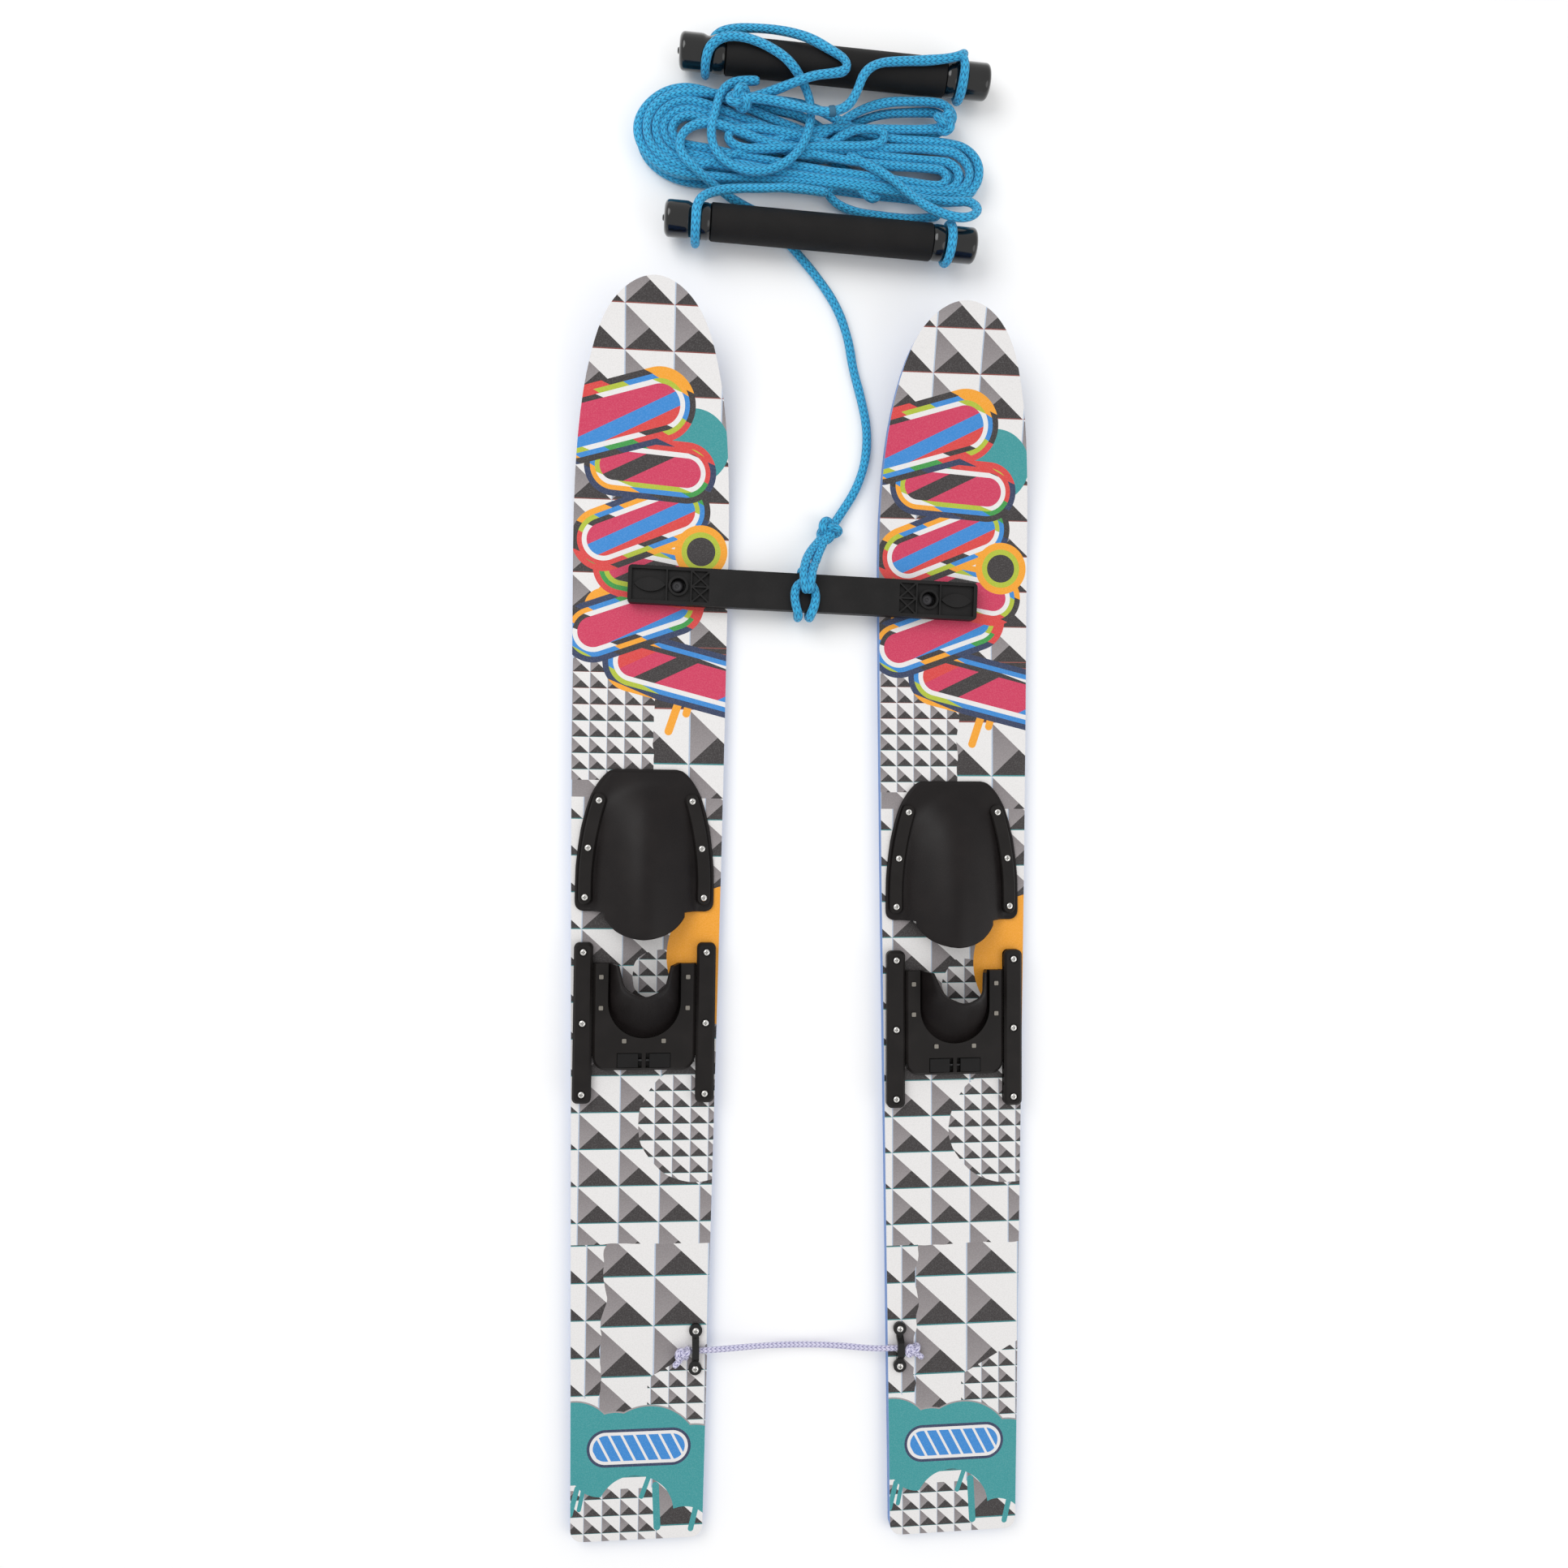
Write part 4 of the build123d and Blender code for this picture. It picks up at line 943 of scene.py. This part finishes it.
def dress_nodes(materials):
    for name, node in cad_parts.items():
        material = surface_for(name, materials)
        if not node.material_slots:
            node.data.materials.append(material)
        for slot in node.material_slots:
            slot.material = material


# ---------------- bindings

TOE_X = -1.5
FLANGE_LOW, FLANGE_HIGH = 12.0, 15.0
FLANGE_REAR, FLANGE_FRONT = 589.8, 723.8
# the toe rubber's flange: (distance from the tail, half width)
FLANGE_EDGE = [
    (FLANGE_REAR, 56.5), (590.4, 60.0), (592, 62.6), (594.5, 64.6), (598, 65.2), (615, 65.2), (632, 64.8),
    (650, 63.0), (668, 60.5), (685, 56.3), (700, 51.5), (712, 44.5), (719, 38.5), (722.5, 34.0),
    (FLANGE_FRONT, 28.0),
]
# its foot pocket: (distance from the tail, half width, height)
POCKET = [(560, 46.0, 33.0), (590, 46.5, 33.0), (620, 45.5, 31.0), (660, 42.0, 25.0), (690, 36.5, 15.0),
          (706, 31.0, 5.0), (716, 26.0, 0.0), (730, 20.0, 0.0)]
# the tongue's rear edge: (half width, distance from the tail)
TONGUE = [(0, 565.6), (8, 566.4), (17, 568.5), (25, 572.0), (31.0, 576.6), (35.5, 581.6), (38, 586.0)]
TONGUE_STEPS = 10
# where the mesh has rows of points, closer together at the flange's two ends
TOE_ROWS = [FLANGE_FRONT, 723.2, 722.3, 721, 719, 716.5, 713, 709] + [704 - 6.0 * k for k in range(18)]
TOE_ROWS += [598, 595, 593, 591.5, 590.5, FLANGE_REAR]
SOFT_REACH = 9.0
WALL = 3.0


def value_at(table, x, column=1):
    """Read off a table of (x, value, ...) rows, straight between rows."""
    if x <= table[0][0]:
        return table[0][column]
    for a, b in zip(table, table[1:]):
        if x <= b[0]:
            t = (x - a[0]) / (b[0] - a[0])
            return a[column] + (b[column] - a[column]) * t
    return table[-1][column]


def soft_value(table, x, column=1):
    """The same, averaged over the stretch within SOFT_REACH of x."""
    return sum(value_at(table, x + SOFT_REACH * k / 3, column) for k in range(-3, 4)) / 7


def dome_height(x, y, inset):
    """Height of the foot pocket above the ski, its surface moved inward by inset."""
    half = soft_value(POCKET, y) - inset
    top = soft_value(POCKET, y, 2) - inset
    t = min(1.0, abs(x) / (half + 2.0))
    round_part = math.sqrt(max(0.0, 1 - t * t))
    bell = 0.5 + 0.5 * math.cos(math.pi * t)
    return max(0.0, top * (0.62 * round_part + 0.38 * bell)) if top > 0 else 0.0


def rubber_top(x, y, edge):
    """Height of the rubber's upper side: a flange with a bead along its edge that swells into the dome."""
    dome = dome_height(x, y, 0.0)
    flange = FLANGE_HIGH - FLANGE_LOW
    bead = 0.35 * math.exp(-((edge - 1.7) / 0.8) ** 2) - 0.35 * math.exp(-((edge - 3.6) / 0.9) ** 2)
    rounding = max(0.0, 1.1 - edge) ** 2 * 0.9
    swell = 3.2
    blend = max(0.0, swell - abs(dome - flange)) ** 2 / (4 * swell)
    return FLANGE_LOW + max(dome, flange) + blend + (bead if dome < flange else 0.0) - rounding


def toe_columns():
    """Shares of the half width: 0 to 1 is the tongue, and 1 to 2 is from there to the flange's edge."""
    inner = [k / 16 for k in range(17)]
    outer = [1 + t for t in (0.12, 0.26, 0.42, 0.58, 0.72, 0.82, 0.88, 0.92, 0.95, 0.975, 1.0)]
    right = inner + outer
    return [-s for s in reversed(right[1:])] + right


def toe_point(share, y):
    """The plan position of a column on a row of the flange, and its distance from the edge."""
    width = value_at(FLANGE_EDGE, y)
    tongue = min(40.0, width * 0.67)
    size = abs(share)
    x = tongue * size if size <= 1 else tongue + (width - tongue) * (size - 1)
    return math.copysign(x, share), min(width - x, FLANGE_FRONT - y + 0.2)


def grid_faces(mesh, rows, flip):
    for upper, lower in zip(rows, rows[1:]):
        for k in range(len(upper) - 1):
            corners = [upper[k], upper[k + 1], lower[k + 1], lower[k]]
            if None in corners or len(set(corners)) < 4:
                continue
            mesh.faces.new(reversed(corners) if flip else corners)


def join_rings(mesh, rings):
    """Faces between closed rows of points, where a row may also be a single point."""
    for a, b in zip(rings, rings[1:]):
        sides = max(len(a), len(b))
        for k in range(sides):
            m = (k + 1) % sides
            corners = [a[k % len(a)], a[m % len(a)], b[m % len(b)], b[k % len(b)]]
            mesh.faces.new(dict.fromkeys(corners))


def finish_mesh(name, mesh, material, side=None, levels=0):
    """Turns the mesh, in millimetres of the ski's frame, into a smooth object where that ski lies."""
    bmesh.ops.recalc_face_normals(mesh, faces=mesh.faces)
    for face in mesh.faces:
        face.smooth = True
    place = Matrix.Scale(MM, 4)
    if side:
        (x, y), turn = SKI_TAILS[side]
        place = place @ Matrix.Translation((x, y, 0)) @ Matrix.Rotation(math.radians(turn), 4, "Z")
    bmesh.ops.transform(mesh, matrix=place, verts=mesh.verts)
    piece = shown(name, mesh, material)
    if levels:
        smooth = piece.modifiers.new("smooth", "SUBSURF")
        smooth.levels = smooth.render_levels = levels
    return piece


def flange_row(mesh, y, shares):
    """The upper and the lower points of a row across the flange and the dome."""
    upper, lower = [], []
    for share in shares:
        x, edge = toe_point(share, y)
        edge = min(edge, y - FLANGE_REAR + (0.0 if abs(share) > 1 else 30.0) + 0.15)
        upper.append(mesh.verts.new((x + TOE_X, y, rubber_top(x, y, edge))))
        under = max(0.0, min(dome_height(x, y, WALL), rubber_top(x, y, 9) - FLANGE_LOW - 2.0))
        lower.append(mesh.verts.new((x + TOE_X, y, FLANGE_LOW + under)))
    return upper, lower


def tongue_row(mesh, t, across, shares):
    """The same on the tongue, the share t of the way from the flange's rear edge to the tongue's."""
    upper, lower = [], []
    for x, share in zip(across, shares):
        if abs(share) > 1:
            upper.append(None)
            lower.append(None)
            continue
        y = FLANGE_REAR - t * (FLANGE_REAR - value_at(TONGUE, abs(x)))
        lip = 0.9 * max(0.0, t - 0.8) / 0.2
        height = FLANGE_LOW + dome_height(x, y, 0.0)
        upper.append(mesh.verts.new((x + TOE_X, y, height - 0.6 * lip)))
        lower.append(mesh.verts.new((x + TOE_X, y, max(FLANGE_LOW, height - WALL + 0.3 * lip))))
    return upper, lower


def make_toe(side, material):
    mesh = bmesh.new()
    shares = toe_columns()
    rows = [flange_row(mesh, y, shares) for y in TOE_ROWS]
    across = [vertex.co.x - TOE_X for vertex in rows[-1][0]]
    rows += [tongue_row(mesh, step / TONGUE_STEPS, across, shares) for step in range(1, TONGUE_STEPS + 1)]
    below = {a: b for upper, lower in rows for a, b in zip(upper, lower) if a}
    grid_faces(mesh, [upper for upper, _ in rows], False)
    rim = [edge for edge in mesh.edges if len(edge.link_faces) == 1]
    grid_faces(mesh, [lower for _, lower in rows], True)
    for edge in rim:
        a, b = edge.verts
        mesh.faces.new((a, b, below[b], below[a]))
    bmesh.ops.delete(mesh, geom=[v for v in mesh.verts if not v.link_faces], context="VERTS")
    piece = finish_mesh(f"{side}_toe_boot", mesh, material, side, levels=1)
    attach(piece, f"{side}_ski")
    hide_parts(f"{side}_toe_rubber")


# the heel cup: half width, centre of its round back and height, at its foot and at its head
CUP_FOOT, CUP_HEAD = (33.6, 505.5, 12.7), (19.5, 533.0, 58.0)
CUP_FRONT, CUP_THICK = 541.4, 3.5
CUP_STEPS, CUP_RISES, CUP_EDGE = 72, 14, 0.0006
RIM_BACK, RIM_SLOPE = 516, 42
# the flat seat that the cup stands on
SEAT_X, SEAT_REAR, SEAT_HIGH = 43.7, 460.3, 14.8


def cup_point(turn, lift, inset):
    """A plan point of the cup: turn runs 0 to 1 from the left leg's front round the heel to the right's."""
    half = CUP_FOOT[0] + (CUP_HEAD[0] - CUP_FOOT[0]) * lift - inset
    centre = CUP_FOOT[1] + (CUP_HEAD[1] - CUP_FOOT[1]) * lift ** 0.85
    leg = max(0.0, CUP_FRONT - centre)
    round_length = math.pi * half
    total = 2 * leg + round_length
    run = turn * total
    if run < leg:
        return -half, CUP_FRONT - run
    if run > leg + round_length:
        return half, CUP_FRONT - (total - run)
    angle = math.pi + (run - leg) / half
    return half * math.cos(angle), centre + half * math.sin(angle)


def cup_height(lift):
    return CUP_FOOT[2] + (CUP_HEAD[2] - CUP_FOOT[2]) * lift


def cup_rim(turn):
    """How far up the cup reaches here: its rim slopes down to the front."""
    low, high = 0.0, 1.0
    for _ in range(24):
        lift = (low + high) / 2
        y = cup_point(turn, lift, 0)[1]
        if cup_height(lift) > CUP_HEAD[2] - math.tan(math.radians(RIM_SLOPE)) * max(0.0, y - RIM_BACK):
            high = lift
        else:
            low = lift
    return low


def seat_edge(x, y):
    """Where the line from the cup's centre through this point meets the seat's outline."""
    if y >= CUP_FOOT[1]:
        return math.copysign(SEAT_X, x), y
    dx, dy = x, y - CUP_FOOT[1]
    grow = min(SEAT_X / max(abs(dx), 1e-6), (CUP_FOOT[1] - SEAT_REAR) / max(-dy, 1e-6))
    return dx * grow, CUP_FOOT[1] + dy * grow


def cup_profile(turn):
    """The cup's section here: over the seat, up the outside, over the rim and down the inside."""
    rim = cup_rim(turn)
    foot_x, foot_y = cup_point(turn, 0, 0)
    edge = seat_edge(foot_x, foot_y)
    step_y = foot_y + (foot_y - CUP_FOOT[1]) * 0.04 * (foot_y < CUP_FOOT[1])
    profile = [(*edge, CUP_FOOT[2]), (*edge, SEAT_HIGH), (foot_x * 1.04, step_y, SEAT_HIGH)]
    for k in range(1, CUP_RISES + 1):
        lift = rim * k / CUP_RISES
        profile.append((*cup_point(turn, lift, 0.5 * (k == CUP_RISES)), cup_height(lift)))
    profile.append((*cup_point(turn, rim, CUP_THICK / 2), cup_height(rim) + 0.7))
    for k in range(CUP_RISES, -1, -1):
        lift = rim * k / CUP_RISES
        profile.append((*cup_point(turn, lift, CUP_THICK - 0.5 * (k == CUP_RISES)), cup_height(lift)))
    return profile


def make_heel(side, material):
    mesh = bmesh.new()
    rings = [[mesh.verts.new(point) for point in cup_profile(i / CUP_STEPS)] for i in range(CUP_STEPS + 1)]
    join_rings(mesh, rings)
    for end in (rings[0], rings[-1]):
        mesh.faces.new(end)
    piece = finish_mesh(f"{side}_heel_cup", mesh, material, side)
    bevel = piece.modifiers.new("soft_edges", "BEVEL")
    bevel.width = CUP_EDGE
    bevel.segments = 2
    bevel.limit_method = "ANGLE"
    bevel.angle_limit = math.radians(50)
    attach(piece, f"{side}_heel")
    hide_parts(f"{side}_heel_rubber")


# ---------------- handles

# each handle's middle in millimetres and its turn in degrees
HANDLES = {"upper": (30.1, 692.2, 22.6, -2.40), "lower": (16.0, 531.4, 26.2, -2.56)}
HANDLE_HALF = 149.5
# an end cap turned about the handle's axis: (distance from the handle's end, radius)
CAP_PROFILE = [
    (-1.6, 0.0), (-1.5, 1.9), (-1.0, 2.7), (-0.1, 3.0), (0.0, 4.0), (0.05, 9.5), (0.3, 11.6), (0.9, 13.4),
    (1.9, 15.0), (3.2, 16.1), (4.6, 16.55), (6.5, 16.6), (14.0, 16.6), (20.0, 16.6), (22.2, 16.45),
    (23.8, 15.9), (25.2, 15.2), (26.6, 14.8), (29.4, 14.8), (30.8, 15.2), (32.2, 15.9), (33.8, 16.45),
    (36.0, 16.6), (40.4, 16.6), (40.9, 16.45), (41.3, 16.1), (44.2, 16.1), (44.2, 11.0),
]


def turned(name, profile, place, material, sides=56):
    """A surface of revolution about place's X axis: profile holds (distance along the axis, radius)."""
    mesh = bmesh.new()
    rings = []
    for x, radius in profile:
        if radius == 0:
            rings.append([mesh.verts.new((x, 0, 0))])
            continue
        angles = [2 * math.pi * k / sides for k in range(sides)]
        rings.append([mesh.verts.new((x, radius * math.cos(a), radius * math.sin(a))) for a in angles])
    join_rings(mesh, rings)
    bmesh.ops.transform(mesh, matrix=place, verts=mesh.verts)
    return finish_mesh(name, mesh, material)


def make_handles(materials):
    for name, (x, y, z, turn) in HANDLES.items():
        place = Matrix.Translation((x, y, z)) @ Matrix.Rotation(math.radians(turn), 4, "Z")
        for end, sign in (("left", -1), ("right", 1)):
            profile = [(sign * (HANDLE_HALF - distance), radius) for distance, radius in CAP_PROFILE]
            cap = turned(f"{name}_{end}_end_cap", profile, place, materials["cap"])
            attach(cap, f"{name}_handle")
            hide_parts(f"{name}_handle_cap_{end}")


# the post that the crossbar drops over: (height, radius), from its top down to the ski
STUD_PROFILE = [
    (19.4, 0.0), (19.4, 1.4), (19.9, 1.7), (20.4, 2.0), (20.4, 3.6), (20.1, 4.6), (19.5, 5.3), (18.7, 5.6),
    (14.6, 5.6), (13.9, 5.9), (13.6, 6.5), (13.5, 8.3), (13.2, 8.8), (12.7, 9.0), (12.0, 9.0), (12.0, 0.0),
]


def make_studs(material):
    upright = Matrix.Rotation(math.radians(-90), 4, "Y")
    for side in SKI_TAILS:
        low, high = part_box(f"{side}_bar_stud")
        centre = Matrix.Translation(((low[0] + high[0]) / 2 / MM, (low[1] + high[1]) / 2 / MM, 0))
        stud = turned(f"{side}_bar_post", STUD_PROFILE, centre @ upright, material, sides=40)
        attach(stud, f"{side}_ski")
        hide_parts(f"{side}_bar_stud")


make_camera()
make_light()
make_floor()
make_tow_rope()
make_rear_cord()
all_materials = make_materials()
dress_nodes(all_materials)
for ski in SKI_TAILS:
    make_toe(ski, all_materials["rubber"])
    make_heel(ski, all_materials["rubber"])
make_handles(all_materials)
make_studs(all_materials["bar_stud"])
